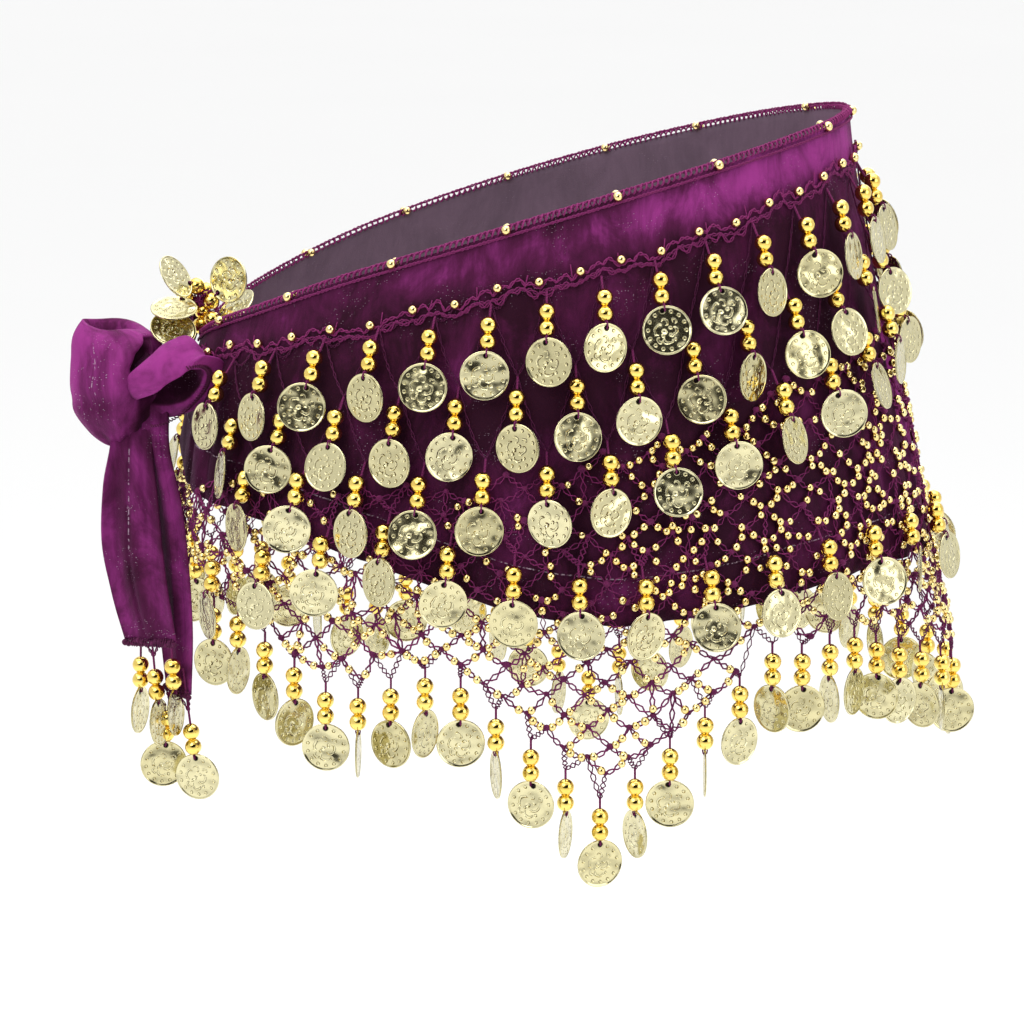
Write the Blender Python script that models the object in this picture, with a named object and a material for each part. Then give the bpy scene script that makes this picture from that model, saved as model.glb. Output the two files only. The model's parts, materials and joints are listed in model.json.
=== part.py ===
"""Belly dance hip scarf, worn: a velvet wrap tied at one hip, with rows of beaded coin drops and a netted hem.

The scarf follows a plain oval hip form, which is not built. Its middle is at +X and its knot at -X, the front
half faces -Y, and both halves mirror each other. A place on it is a share, from 0 at the middle to 1 at the knot
(positive in front, negative behind), a height, and how far out it lies from the hip form.
"""

import math
from collections import namedtuple

import bmesh
import bpy
from mathutils import Vector

MM = 0.001

# Hip form
WAIST_HALF_WIDTH = 127 * MM
HIP_HALF_WIDTH = 163 * MM
DEPTH_SHARE = 0.745
WAIST_HEIGHT = 60 * MM
HIP_HEIGHT = -170 * MM
EVEN_SPACING = 0.0745

# Cloth, net and the space between pieces
SEAM_GAP = 0.3 * MM
CUT_GAP = 1.5 * SEAM_GAP
VELVET_THICK = 1.5 * MM
VELVET_END = 0.985
VELVET_COLUMNS = 56
VELVET_ROWS = 5
NET_THICK = 1.2 * MM
NET_OUT = 3.5 * MM
NET_LAP = 8 * MM
NET_MIDDLE_GAP = 0.0004
NET_ROWS = 2
NET_COLUMNS = 60
TAIL_THICK = 2 * MM
TAIL_COLUMNS = 8
EDGING_OUT = 0.7 * MM
EDGING_SIZE = 2 * MM

Level = namedtuple("Level", "share height")
TOP_EDGE = (
    Level(0.0, 35.5),
    Level(0.15, 31),
    Level(0.3, 20),
    Level(0.5, 0.5),
    Level(0.7, -23),
    Level(0.85, -44),
    Level(1.0, -62),
)
VELVET_HEM = (
    Level(0.0, -150),
    Level(0.2, -151.5),
    Level(0.42, -163),
    Level(0.52, -158),
    Level(0.64, -142.5),
    Level(0.8, -126),
    Level(0.92, -120),
    Level(1.0, -107),
)

# The netted hem's corners, counted in half the spacing of its drops
HALF_DROP_STEP = 0.0160714
NetCorner = namedtuple("NetCorner", "half_steps height")
NET_CORNERS = (
    NetCorner(0, -200),
    NetCorner(13, -170),
    NetCorner(15, -176),
    NetCorner(18, -173),
    NetCorner(28, -234),
    NetCorner(37, -177),
    NetCorner(42, -190.5),
    NetCorner(44, -189.5),
    NetCorner(50, -163),
    NetCorner(60, -157),
    NetCorner(63, -150),
)
NET_HEM = tuple(Level(corner.half_steps * HALF_DROP_STEP, corner.height) for corner in NET_CORNERS)

# Soft folds of the velvet: where each stands, how wide, how deep, and the heights where it starts and is full
Fold = namedtuple("Fold", "share reach depth start full")
FOLDS = (
    Fold(0.0, 0.1, 12, -130, -205),
    Fold(0.05, 0.035, 2.2, -40, -140),
    Fold(0.16, 0.04, -1.5, -80, -150),
    Fold(0.31, 0.05, 1.6, -100, -155),
    Fold(0.47, 0.05, -1.4, -110, -158),
    Fold(0.62, 0.04, 1.4, -90, -145),
    Fold(0.87, 0.03, 1.8, -60, -100),
    Fold(0.95, 0.025, -1.6, -50, -90),
)

# A coin drop: two beads and a coin on one thread, each level with its distance down and its half sizes
DropLevel = namedtuple("DropLevel", "down across through")
BEADS = (DropLevel(6.0, 2.7, 2.7), DropLevel(9.3, 1.1, 1.1), DropLevel(12.6, 2.7, 2.7))
COIN_HOLE = DropLevel(15.8, 1.3, 0.6)
COIN = (DropLevel(22.0, 9.6, 0.45), DropLevel(29.6, 9.6, 0.45), DropLevel(35.6, 3.5, 0.45))
DROP = (*BEADS, COIN_HOLE, *COIN)
ROOT_HALF = 1.1 * MM
STRIP_HEIGHT = 1.8 * MM
STRIP_DEPTH = 1.6 * MM
COIN_LEAN = 5.5 * MM

# How much of its depth a row keeps: the rows draw together towards the middle and the knot
Drawn = namedtuple("Drawn", "share height")
ROWS_DRAWN = (
    Drawn(0.0, 0.75),
    Drawn(0.1, 0.8),
    Drawn(0.2, 0.89),
    Drawn(0.3, 0.95),
    Drawn(0.42, 1.02),
    Drawn(0.5, 1.0),
    Drawn(0.6, 0.93),
    Drawn(0.7, 0.82),
    Drawn(0.8, 0.7),
    Drawn(0.9, 0.64),
    Drawn(1.0, 0.6),
)

# Rows of drops: depth below the top edge, first place, last share in front of and behind the wearer, how far
# out the beads lie, and how far the coins turn. A strip lies closer over velvet than over the net.
Row = namedtuple("Row", "name depth first front back bead_out swing phase")
DROPS_TO_A_SIDE = 17
TURN_STEP = 2.4
ROWS = (
    Row("coin_row_1", 28, 0.5, 0.865, 0.95, 7.8, 24, 3.3),
    Row("coin_row_2", 60, 0.0, 0.85, 0.95, 6.8, 30, 1.7),
    Row("coin_row_3", 92, 0.5, 0.84, 0.95, 8.3, 30, 3.4),
    Row("coin_row_4", None, 0.0, 0.83, 0.90, 8.3, 30, 5.1),
)
STRIP_OUT_ON_VELVET = 2.3 * MM
STRIP_OUT_ON_NET = 4.1 * MM
NET_TOP_MARGIN = 6 * MM
LAST_ROW_ABOVE_HEM = 25 * MM
LAST_ROW_LEAST_DEPTH = 100 * MM
HEM_GAP = 0.45 * MM
HEM_DROPS_FRONT = 26
HEM_DROPS_BACK = 28
HEM_SWING = (18, 72)
HEM_DROP_OUT = 2.9 * MM

# Knot and the two hanging ends of the tie
KNOT_CENTRE = Vector((-180.5, -20, 0)) * MM
KNOT_SIDES = 18
KNOT_LOBE_CENTRE = Vector((-157, -36, -83)) * MM
KNOT_LOBE_SIZE = Vector((21, 17, 20)) * MM
KNOT_LOBE_TURN = math.radians(-24)
KNOT_LOBE_SIDES = 18
KNOT_LOBE_LEVELS = 11
HIP_CUTTER_LOW = -130 * MM
HIP_CUTTER_HIGH = -20 * MM
HIP_CUTTER_ROWS = 12
HIP_CUTTER_SIDES = 96
HIP_CUTTER_OUT = VELVET_THICK + 2 * SEAM_GAP
DrumLevel = namedtuple("DrumLevel", "height across deep slope")
KNOT_DRUM = (
    DrumLevel(-66, 9, 6, 0.2),
    DrumLevel(-57, 14, 9, 0.2),
    DrumLevel(-55.5, 18, 15, 0.22),
    DrumLevel(-61, 21.5, 20, 0.18),
    DrumLevel(-74, 23, 22, 0.08),
    DrumLevel(-88, 21.5, 20, 0.0),
    DrumLevel(-99, 16, 14, 0.0),
    DrumLevel(-104, 9, 8, 0.0),
)
TAIL_HALF_WAVES = 3
TAIL_BACK = Vector((-0.17, 1.0, 0))
TailLevel = namedtuple("TailLevel", "height left left_front right right_front wave")
TAILS = {
    "tail_front": (
        TailLevel(-104.4, -186, -28, -172, -30, 1.0),
        TailLevel(-122, -188, -36, -168, -45, 2.5),
        TailLevel(-145, -188, -40, -163.5, -56, 3.0),
        TailLevel(-167, -184, -43, -160, -61, 2.0),
        TailLevel(-186, -178.5, -46, -156, -64, 1.0),
    ),
    "tail_rear": (
        TailLevel(-103.8, -168, -33, -155, -39, 1.0),
        TailLevel(-128, -166, -34, -151.5, -58, 2.0),
        TailLevel(-155, -165, -38, -150, -66, 2.5),
        TailLevel(-178, -164, -41, -151, -65, 2.0),
        TailLevel(-194, -162, -44, -151, -64, 1.0),
    ),
}
TIE_TIP = (
    TailLevel(-67, -163, 9, -153, 9, 0.0),
    TailLevel(-59, -161, 10, -150, 10, 1.0),
    TailLevel(-54, -158, 11, -146, 11, 1.5),
    TailLevel(-48, -156, 11, -143, 11, 0.5),
)

# Drops of the tie ends: where each starts on its end's edge, how much thread is above its beads, the way it
# points, and the way its coin faces
EndDrop = namedtuple("EndDrop", "x y z thread points faces")
END_DROPS = {
    "tail_front_drops": (
        EndDrop(-174.5, -49, -186.5, 1, (-0.05, 0, -1), (0.95, -0.3, 0)),
        EndDrop(-160, -61, -186.5, 1, (0.05, 0, -1), (0.9, -0.42, 0)),
    ),
    "tail_rear_drops": (
        EndDrop(-158.5, -49, -194.5, 17, (-0.1, 0, -1), (0.2, -0.98, 0)),
        EndDrop(-153, -60, -194.5, 20, (0.12, 0, -1), (-0.35, -0.94, 0)),
    ),
    "tie_tip_drops": (
        EndDrop(-154, 12, -47.6, 1, (-0.3, -0.93, 0.12), (-0.2, -0.6, -0.77)),
        EndDrop(-149.5, 12, -47.6, 1, (-0.2, -0.8, 0.57), (-0.3, -0.35, -0.9)),
        EndDrop(-145, 12, -47.6, 1, (0.42, -0.8, 0.42), (0.1, -0.98, -0.25)),
    ),
}
THREAD_HALF = 0.9

SMALL_SHARE = 0.001
SHARP_EDGE = math.radians(40)

PURPLE = (0.12, 0.015, 0.1)
THREAD = (0.16, 0.02, 0.11)
GOLD = (0.86, 0.72, 0.36)


def curve_at(table, share):
    """Height in metres that a table gives at a share, on a smooth curve through its rows, level at the middle."""
    share = min(abs(share), table[-1].share)
    last = len(table) - 1

    def slope(i):
        if i == 0:
            return 0.0
        before, after = table[i - 1], table[min(i + 1, last)]
        return (after.height - before.height) / (after.share - before.share)

    for i, (start, end) in enumerate(zip(table, table[1:])):
        if share <= end.share:
            width = end.share - start.share
            t = (share - start.share) / width
            height = (
                (2 * t**3 - 3 * t**2 + 1) * start.height
                + (t**3 - 2 * t**2 + t) * width * slope(i)
                + (3 * t**2 - 2 * t**3) * end.height
                + (t**3 - t**2) * width * slope(i + 1)
            )
            return height * MM


def line_at(table, share):
    """Height in metres that a table gives at a share, on straight lines between its rows."""
    share = min(abs(share), table[-1].share)
    for start, end in zip(table, table[1:]):
        if share <= end.share:
            t = (share - start.share) / (end.share - start.share)
            return (start.height + (end.height - start.height) * t) * MM


def eased(t):
    """0 to 1 as t goes from 0 to 1, level at both ends."""
    t = min(1.0, max(0.0, t))
    return t * t * (3 - 2 * t)


def half_width(height):
    drop = (WAIST_HEIGHT - height) / (WAIST_HEIGHT - HIP_HEIGHT)
    return WAIST_HALF_WIDTH + (HIP_HALF_WIDTH - WAIST_HALF_WIDTH) * eased(drop)


def fold_out(share, height):
    """How far the velvet's folds push a place out."""
    out = 0.0
    for fold in FOLDS:
        near = math.exp(-(((abs(share) - fold.share) / fold.reach) ** 2))
        out += fold.depth * MM * near * eased((height / MM - fold.start) / (fold.full - fold.start))
    return out


def point(share, height, out):
    """A place on the scarf, out from the hip form."""
    angle = math.pi * share + EVEN_SPACING * math.sin(2 * math.pi * share)
    out += fold_out(share, height)
    wide = half_width(height) + out
    deep = half_width(height) * DEPTH_SHARE + out
    return Vector((wide * math.cos(angle), -deep * math.sin(angle), height))


def spread(start, end, count):
    """count + 1 evenly spaced values from start to end."""
    return [start + (end - start) * i / count for i in range(count + 1)]


def new_material(name, colour, roughness, metallic):
    material = bpy.data.materials.new(name)
    material.use_nodes = True
    shader = material.node_tree.nodes["Principled BSDF"]
    shader.inputs["Base Color"].default_value = (*colour, 1.0)
    shader.inputs["Roughness"].default_value = roughness
    shader.inputs["Metallic"].default_value = metallic
    return material


def add_object(name, bm, material):
    """Makes an object of a bmesh, its faces turned out and shaded smooth but for sharp edges."""
    bmesh.ops.recalc_face_normals(bm, faces=bm.faces)
    mesh = bpy.data.meshes.new(name)
    bm.to_mesh(mesh)
    bm.free()
    mesh.shade_smooth()
    mesh.set_sharp_from_angle(angle=SHARP_EDGE)
    mesh.materials.append(material)
    obj = bpy.data.objects.new(name, mesh)
    bpy.context.scene.collection.objects.link(obj)
    return obj


def add_grid(bm, rows):
    """Faces between rows of places; returns the rows of vertices."""
    made = [[bm.verts.new(place) for place in row] for row in rows]
    for upper, lower in zip(made, made[1:]):
        for i in range(len(upper) - 1):
            bm.faces.new((upper[i], upper[i + 1], lower[i + 1], lower[i]))
    return made


def add_band(bm, ring, after):
    """Faces that join two rings of vertices."""
    count = len(ring)
    for i in range(count):
        j = (i + 1) % count
        bm.faces.new((ring[i], ring[j], after[j], after[i]))


def thicken(obj, thick):
    """Gives a sheet its wall, inwards from the places that it was made of."""
    solid = obj.modifiers.new("wall", "SOLIDIFY")
    solid.thickness = thick
    solid.offset = -1
    solid.use_even_offset = True


def outward_sheet(name, rows, material, thick, centre=None):
    """A wall whose outer face has these rows of places, with the wall on the side of the centre."""
    bm = bmesh.new()
    add_grid(bm, rows)
    centre = centre or Vector((0, 0, rows[0][0].z))
    obj = add_object(name, bm, material)
    face = obj.data.polygons[0]
    if face.normal.dot(face.center - Vector((centre.x, centre.y, face.center.z))) < 0:
        obj.data.flip_normals()
    thicken(obj, thick)
    return obj


def velvet_shares():
    return spread(-VELVET_END, VELVET_END, VELVET_COLUMNS)


def build_velvet(material):
    rows = []
    for down in spread(0.0, 1.0, VELVET_ROWS):
        row = []
        for share in velvet_shares():
            top, hem = curve_at(TOP_EDGE, share), curve_at(VELVET_HEM, share)
            row.append(point(share, top + (hem - top) * down, VELVET_THICK))
        rows.append(row)
    outward_sheet("velvet_wrap", rows, material, VELVET_THICK)


def build_net(name, side, material):
    """Half of the netted hem, from under the velvet's edge to its points."""
    shares = [max(i * HALF_DROP_STEP, NET_MIDDLE_GAP) for i in range(NET_COLUMNS + 1)]
    rows = []
    for down in spread(0.0, 1.0, NET_ROWS):
        row = []
        for share in shares:
            top, hem = curve_at(VELVET_HEM, share) + NET_LAP, line_at(NET_HEM, share)
            row.append(point(side * share, top + (hem - top) * down, NET_OUT))
        rows.append(row)
    outward_sheet(name, rows, material, NET_THICK)


def strip_station(bm, share, height, out):
    """Three corners of a strip's cross-section: its top, and the outer and inner edge of its flat underside."""
    low = height - STRIP_HEIGHT
    return [
        bm.verts.new(point(share, height, out + STRIP_DEPTH / 2)),
        bm.verts.new(point(share, low, out + STRIP_DEPTH)),
        bm.verts.new(point(share, low, out)),
    ]


def add_drop(bm, root, centre_of, across, through, levels):
    """A drop's skin, from the four corners of its root to the foot of its coin."""
    ring = root
    for level in levels:
        centre = centre_of(level.down * MM)
        side, face = across * level.across * MM, through * level.through * MM
        corners = (-side + face, side + face, side - face, -side - face)
        after = [bm.verts.new(centre + corner) for corner in corners]
        add_band(bm, ring, after)
        ring = after
    bm.faces.new(ring)


def turned(share, degrees):
    """The directions across and out of the scarf at a share, turned about the vertical."""
    along = point(share + SMALL_SHARE, 0, 0) - point(share - SMALL_SHARE, 0, 0)
    along.z = 0
    along.normalize()
    out = Vector((-along.y, along.x, 0))
    if out.dot(point(share, 0, 0)) < 0:
        out.negate()
    turn = math.radians(degrees)
    return (
        along * math.cos(turn) + out * math.sin(turn),
        out * math.cos(turn) - along * math.sin(turn),
    )


def build_hanging_drops(name, places, height_of, strip_out, bead_out, coin_out, material):
    """A narrow strip with drops hanging from it. places are pairs of a share and a turn in degrees, and
    strip_out gives how far out the strip lies at a share."""
    bm = bmesh.new()
    half = ROOT_HALF / (math.pi * WAIST_HALF_WIDTH)
    stations, roots = [], []
    for i, (share, degrees) in enumerate(places):
        for edge in (share - half, share + half):
            height = min(height_of(edge), height_of(share))
            stations.append(strip_station(bm, edge, height, strip_out(share)))
        roots.append((len(stations) - 2, share, degrees))
        if i + 1 < len(places):
            middle = (share + places[i + 1][0]) / 2
            stations.append(strip_station(bm, middle, height_of(middle), strip_out(middle)))
    root_starts = {start for start, _, _ in roots}
    for i, (here, after) in enumerate(zip(stations, stations[1:])):
        bm.faces.new((here[0], after[0], after[1], here[1]))
        bm.faces.new((here[2], after[2], after[0], here[0]))
        if i not in root_starts:
            bm.faces.new((here[1], after[1], after[2], here[2]))
    bm.faces.new(stations[0])
    bm.faces.new(stations[-1])
    for start, share, degrees in roots:
        here, after = stations[start], stations[start + 1]
        top = height_of(share) - STRIP_HEIGHT
        across, through = turned(share, degrees)
        coin_top, coin_foot = COIN_HOLE.down * MM, COIN[-1].down * MM

        def centre_of(down):
            if down < coin_top:
                return point(share, top - down, bead_out)
            start_at = point(share, top - coin_top, (bead_out + coin_out) / 2)
            end_at = point(share, top - coin_foot, coin_out)
            return start_at.lerp(end_at, (down - coin_top) / (coin_foot - coin_top))

        add_drop(bm, (here[1], after[1], after[2], here[2]), centre_of, across, through, DROP)
    return add_object(name, bm, material)


def row_depth(row, share):
    """How far below the top edge a row's strip lies."""
    if row.depth is not None:
        return row.depth * curve_at(ROWS_DRAWN, share)
    velvet = curve_at(TOP_EDGE, share) - curve_at(VELVET_HEM, share)
    return max(velvet - LAST_ROW_ABOVE_HEM, LAST_ROW_LEAST_DEPTH)


def strip_out_at(row, share):
    """How far out a row's strip lies: over the net where it comes near the net's top edge."""
    height = curve_at(TOP_EDGE, share) - row_depth(row, share)
    over_net = height < curve_at(VELVET_HEM, share) + NET_LAP + NET_TOP_MARGIN
    return STRIP_OUT_ON_NET if over_net else STRIP_OUT_ON_VELVET


def build_rows(material):
    for row in ROWS:
        shares = set()
        for i in range(DROPS_TO_A_SIDE):
            share = (i + row.first) / DROPS_TO_A_SIDE
            shares |= {s for s in (share, -share) if -row.back <= s <= row.front}
        places = [
            (share, row.swing * math.sin(TURN_STEP * i + row.phase)) for i, share in enumerate(sorted(shares))
        ]
        build_hanging_drops(
            row.name,
            places,
            lambda share, row=row: curve_at(TOP_EDGE, share) - row_depth(row, share),
            lambda share, row=row: strip_out_at(row, share),
            row.bead_out * MM,
            row.bead_out * MM + COIN_LEAN,
            material,
        )


def build_hem_drops(name, side, count, material):
    """Drops along half of the netted hem, their strip just below it. Facing coins alternate with turned ones."""
    first = 0 if side > 0 else 1
    places = []
    for i in range(first, count + 1):
        facing = HEM_SWING[i % 2]
        places.append((side * i * 2 * HALF_DROP_STEP, facing if (i // 2) % 2 else -facing))
    places.sort()
    build_hanging_drops(
        name,
        places,
        lambda share: line_at(NET_HEM, share) - HEM_GAP,
        lambda share: HEM_DROP_OUT - STRIP_DEPTH / 2,
        HEM_DROP_OUT,
        HEM_DROP_OUT,
        material,
    )


def build_edging(material):
    """The crocheted edging along the velvet's top edge."""
    bm = bmesh.new()
    stations = []
    for share in velvet_shares():
        foot = curve_at(TOP_EDGE, share) + SEAM_GAP
        stations.append(
            [
                bm.verts.new(point(share, foot + EDGING_SIZE, EDGING_OUT)),
                bm.verts.new(point(share, foot, EDGING_OUT + EDGING_SIZE / 2)),
                bm.verts.new(point(share, foot, EDGING_OUT - EDGING_SIZE / 2)),
            ]
        )
    for here, after in zip(stations, stations[1:]):
        add_band(bm, here, after)
    bm.faces.new(stations[0])
    bm.faces.new(stations[-1])
    add_object("top_edging", bm, material)


def drum_rings(grow):
    """Rings of the knot's drum, from the bottom of the hollow in its top to its foot."""
    rings = []
    for level in KNOT_DRUM:
        ring = []
        for i in range(KNOT_SIDES):
            angle = 2 * math.pi * i / KNOT_SIDES
            across = (level.across * MM + grow) * math.cos(angle)
            deep = (level.deep * MM + grow) * math.sin(angle)
            height = level.height * MM - level.slope * across
            ring.append(KNOT_CENTRE + Vector((across, deep, height)))
        rings.append(ring)
    return rings


def build_drum(name, grow, material):
    bm = bmesh.new()
    rings = [[bm.verts.new(place) for place in ring] for ring in drum_rings(grow)]
    for ring, after in zip(rings, rings[1:]):
        add_band(bm, ring, after)
    bm.faces.new(rings[0])
    bm.faces.new(rings[-1])
    return add_object(name, bm, material)


def build_hip_cutter(material):
    """A solid of the hip form and the velvet on it, which only cuts."""
    bm = bmesh.new()
    shares = spread(-1.0, 1.0, HIP_CUTTER_SIDES)[:-1]
    rings = []
    for height in spread(HIP_CUTTER_LOW, HIP_CUTTER_HIGH, HIP_CUTTER_ROWS):
        rings.append([bm.verts.new(point(s, height, HIP_CUTTER_OUT)) for s in shares])
    for ring, after in zip(rings, rings[1:]):
        add_band(bm, ring, after)
    bm.faces.new(rings[0])
    bm.faces.new(rings[-1])
    return add_object("hip_cutter", bm, material)


def cut(obj, cutter):
    """Takes a cutter's space from an object, and keeps the cutter out of the render."""
    difference = obj.modifiers.new("clear of " + cutter.name, "BOOLEAN")
    difference.operation = "DIFFERENCE"
    difference.object = cutter
    cutter.hide_render = True
    cutter.display_type = "WIRE"


def build_knot(material):
    """The knot: a wide loop round a hollow, and the lobe that comes out of it towards the front."""
    build_drum("knot_loop", 0.0, material)
    bm = bmesh.new()
    bmesh.ops.create_uvsphere(bm, u_segments=KNOT_LOBE_SIDES, v_segments=KNOT_LOBE_LEVELS, radius=1.0)
    for vert in bm.verts:
        place = Vector(a * b for a, b in zip(vert.co, KNOT_LOBE_SIZE))
        lean = math.cos(KNOT_LOBE_TURN), math.sin(KNOT_LOBE_TURN)
        vert.co = KNOT_LOBE_CENTRE + Vector(
            (place.x * lean[0] - place.y * lean[1], place.x * lean[1] + place.y * lean[0], place.z)
        )
    lobe = add_object("knot_lobe", bm, material)
    cut(lobe, build_drum("drum_cutter", CUT_GAP, material))
    cut(lobe, build_hip_cutter(material))


def tail_rows(levels):
    """Rows of places across a tie end, waved from side to side."""
    rows = []
    for level in levels:
        row = []
        for across in spread(0.0, 1.0, TAIL_COLUMNS):
            wave = level.wave * math.sin(across * TAIL_HALF_WAVES * math.pi)
            x = level.left + (level.right - level.left) * across
            front = level.left_front + (level.right_front - level.left_front) * across
            row.append(Vector((x, front + wave, level.height)) * MM)
        rows.append(row)
    return rows


def build_end_drops(name, ends, up, material):
    """A short trim along a tie end's edge with its drops, which stand apart but for the trim."""
    bm = bmesh.new()
    stations = []
    for end in ends:
        place = Vector((end.x, end.y, end.z)) * MM
        for across in (-ROOT_HALF, ROOT_HALF):
            base = place + Vector((across, 0, 0))
            stations.append(
                [
                    bm.verts.new(base),
                    bm.verts.new(base + Vector((0, -STRIP_DEPTH / 2, up * STRIP_HEIGHT))),
                    bm.verts.new(base + Vector((0, STRIP_DEPTH / 2, up * STRIP_HEIGHT))),
                ]
            )
    for i, (here, after) in enumerate(zip(stations, stations[1:])):
        bm.faces.new((here[0], after[0], after[1], here[1]))
        bm.faces.new((here[2], after[2], after[0], here[0]))
        if i % 2:
            bm.faces.new((here[1], after[1], after[2], here[2]))
    bm.faces.new(stations[0])
    bm.faces.new(stations[-1])
    for i, end in enumerate(ends):
        here, after = stations[2 * i], stations[2 * i + 1]
        start = Vector((end.x, end.y, end.z)) * MM + Vector((0, 0, up * STRIP_HEIGHT))
        points = Vector(end.points).normalized()
        faces = Vector(end.faces)
        faces = (faces - points * faces.dot(points)).normalized()
        across = faces.cross(points)
        if across.x < 0:
            across.negate()
        thread = DropLevel(end.thread, THREAD_HALF, THREAD_HALF)
        lower = [level._replace(down=level.down + end.thread) for level in DROP]
        add_drop(
            bm,
            (here[1], after[1], after[2], here[2]),
            lambda down, start=start, points=points: start + points * down,
            across,
            faces,
            (thread, *lower),
        )
    return add_object(name, bm, material)


def build_tie_ends(velvet, gold):
    for name, levels in TAILS.items():
        outward_sheet(name, tail_rows(levels), velvet, TAIL_THICK, TAIL_BACK)
    outward_sheet("tie_tip", tail_rows(TIE_TIP), velvet, TAIL_THICK, TAIL_BACK)
    for name, ends in END_DROPS.items():
        build_end_drops(name, ends, 1 if name == "tie_tip_drops" else -1, gold)


def main():
    for obj in list(bpy.data.objects):
        bpy.data.objects.remove(obj)
    velvet = new_material("velvet", PURPLE, 0.6, 0.0)
    thread = new_material("crochet thread", THREAD, 0.8, 0.0)
    gold = new_material("gold beads and coins", GOLD, 0.25, 1.0)
    build_velvet(velvet)
    build_edging(thread)
    build_net("net_front", 1, thread)
    build_net("net_back", -1, thread)
    build_rows(gold)
    build_hem_drops("hem_drops_front", 1, HEM_DROPS_FRONT, gold)
    build_hem_drops("hem_drops_back", -1, HEM_DROPS_BACK, gold)
    build_knot(velvet)
    build_tie_ends(velvet, gold)


main()
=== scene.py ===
"""Looks of the belly dance hip scarf: velvet, crochet, beads and stamped coins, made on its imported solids.

A place on the scarf is a share, from 0 at the middle to 1 at the knot (positive in front, negative behind), a
height, and how far out it lies from the hip form. The tables and curves repeat those of the solids.
"""

import json
import math
from collections import namedtuple

import bpy
import numpy as np
from bpy.props import FloatProperty, FloatVectorProperty, PointerProperty
from bpy.types import Operator, Panel, PropertyGroup
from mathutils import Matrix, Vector

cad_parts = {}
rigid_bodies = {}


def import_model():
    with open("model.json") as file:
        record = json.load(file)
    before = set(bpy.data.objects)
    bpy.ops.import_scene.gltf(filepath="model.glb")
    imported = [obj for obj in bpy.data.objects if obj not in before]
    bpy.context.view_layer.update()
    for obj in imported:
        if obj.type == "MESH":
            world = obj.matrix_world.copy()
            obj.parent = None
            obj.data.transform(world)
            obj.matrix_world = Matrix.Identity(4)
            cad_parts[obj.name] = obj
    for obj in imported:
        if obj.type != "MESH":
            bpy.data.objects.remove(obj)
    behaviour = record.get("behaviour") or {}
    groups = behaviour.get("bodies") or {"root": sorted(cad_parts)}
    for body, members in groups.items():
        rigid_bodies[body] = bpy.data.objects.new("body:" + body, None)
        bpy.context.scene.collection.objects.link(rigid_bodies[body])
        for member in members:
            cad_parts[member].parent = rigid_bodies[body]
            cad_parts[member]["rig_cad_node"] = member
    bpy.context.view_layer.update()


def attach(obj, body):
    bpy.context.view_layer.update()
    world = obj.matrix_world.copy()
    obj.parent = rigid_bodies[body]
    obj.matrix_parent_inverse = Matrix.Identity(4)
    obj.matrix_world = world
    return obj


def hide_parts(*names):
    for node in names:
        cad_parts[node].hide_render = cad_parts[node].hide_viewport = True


bl_info = {
    "name": "Belly dance hip scarf",
    "version": (1, 0, 0),
    "blender": (4, 5, 0),
    "location": "3D View > Sidebar > Hip Scarf",
    "description": "Makes the cloth, crochet, beads, coins and studio of a worn belly dance hip scarf",
    "category": "Add Mesh",
}

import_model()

MM = 0.001

# Hip form, and the share at which the velvet's two ends stop behind the knot
WAIST_HALF_WIDTH = 127 * MM
HIP_HALF_WIDTH = 163 * MM
DEPTH_SHARE = 0.745
WAIST_HEIGHT = 60 * MM
HIP_HEIGHT = -170 * MM
EVEN_SPACING = 0.0745
WRAP_END = 0.996
CLOTH_THICK = 1.2 * MM
CREASE_END = 1.25

Level = namedtuple("Level", "share height")
TOP_EDGE = (
    Level(0.0, 35.5),
    Level(0.15, 31),
    Level(0.3, 20),
    Level(0.5, 0.5),
    Level(0.7, -23),
    Level(0.85, -44),
    Level(1.0, -62),
)
VELVET_HEM = (
    Level(0.0, -150),
    Level(0.2, -151.5),
    Level(0.42, -163),
    Level(0.52, -158),
    Level(0.64, -142.5),
    Level(0.8, -126),
    Level(0.92, -120),
    Level(1.0, -107),
)
HALF_DROP_STEP = 0.0160714
NetCorner = namedtuple("NetCorner", "half_steps height")
NET_CORNERS = (
    NetCorner(0, -200),
    NetCorner(13, -170),
    NetCorner(15, -176),
    NetCorner(18, -173),
    NetCorner(28, -234),
    NetCorner(37, -177),
    NetCorner(42, -190.5),
    NetCorner(44, -189.5),
    NetCorner(50, -163),
    NetCorner(60, -157),
    NetCorner(63, -150),
)
NET_HEM = tuple(Level(corner.half_steps * HALF_DROP_STEP, corner.height) for corner in NET_CORNERS)

Fold = namedtuple("Fold", "share reach depth start full")
FOLDS = (
    Fold(0.0, 0.1, 12, -130, -205),
    Fold(0.05, 0.035, 2.2, -40, -140),
    Fold(0.16, 0.04, -1.5, -80, -150),
    Fold(0.31, 0.05, 1.6, -100, -155),
    Fold(0.47, 0.05, -1.4, -110, -158),
    Fold(0.62, 0.04, 1.4, -90, -145),
    Fold(0.87, 0.03, 1.8, -60, -100),
    Fold(0.95, 0.025, -1.6, -50, -90),
)

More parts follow.
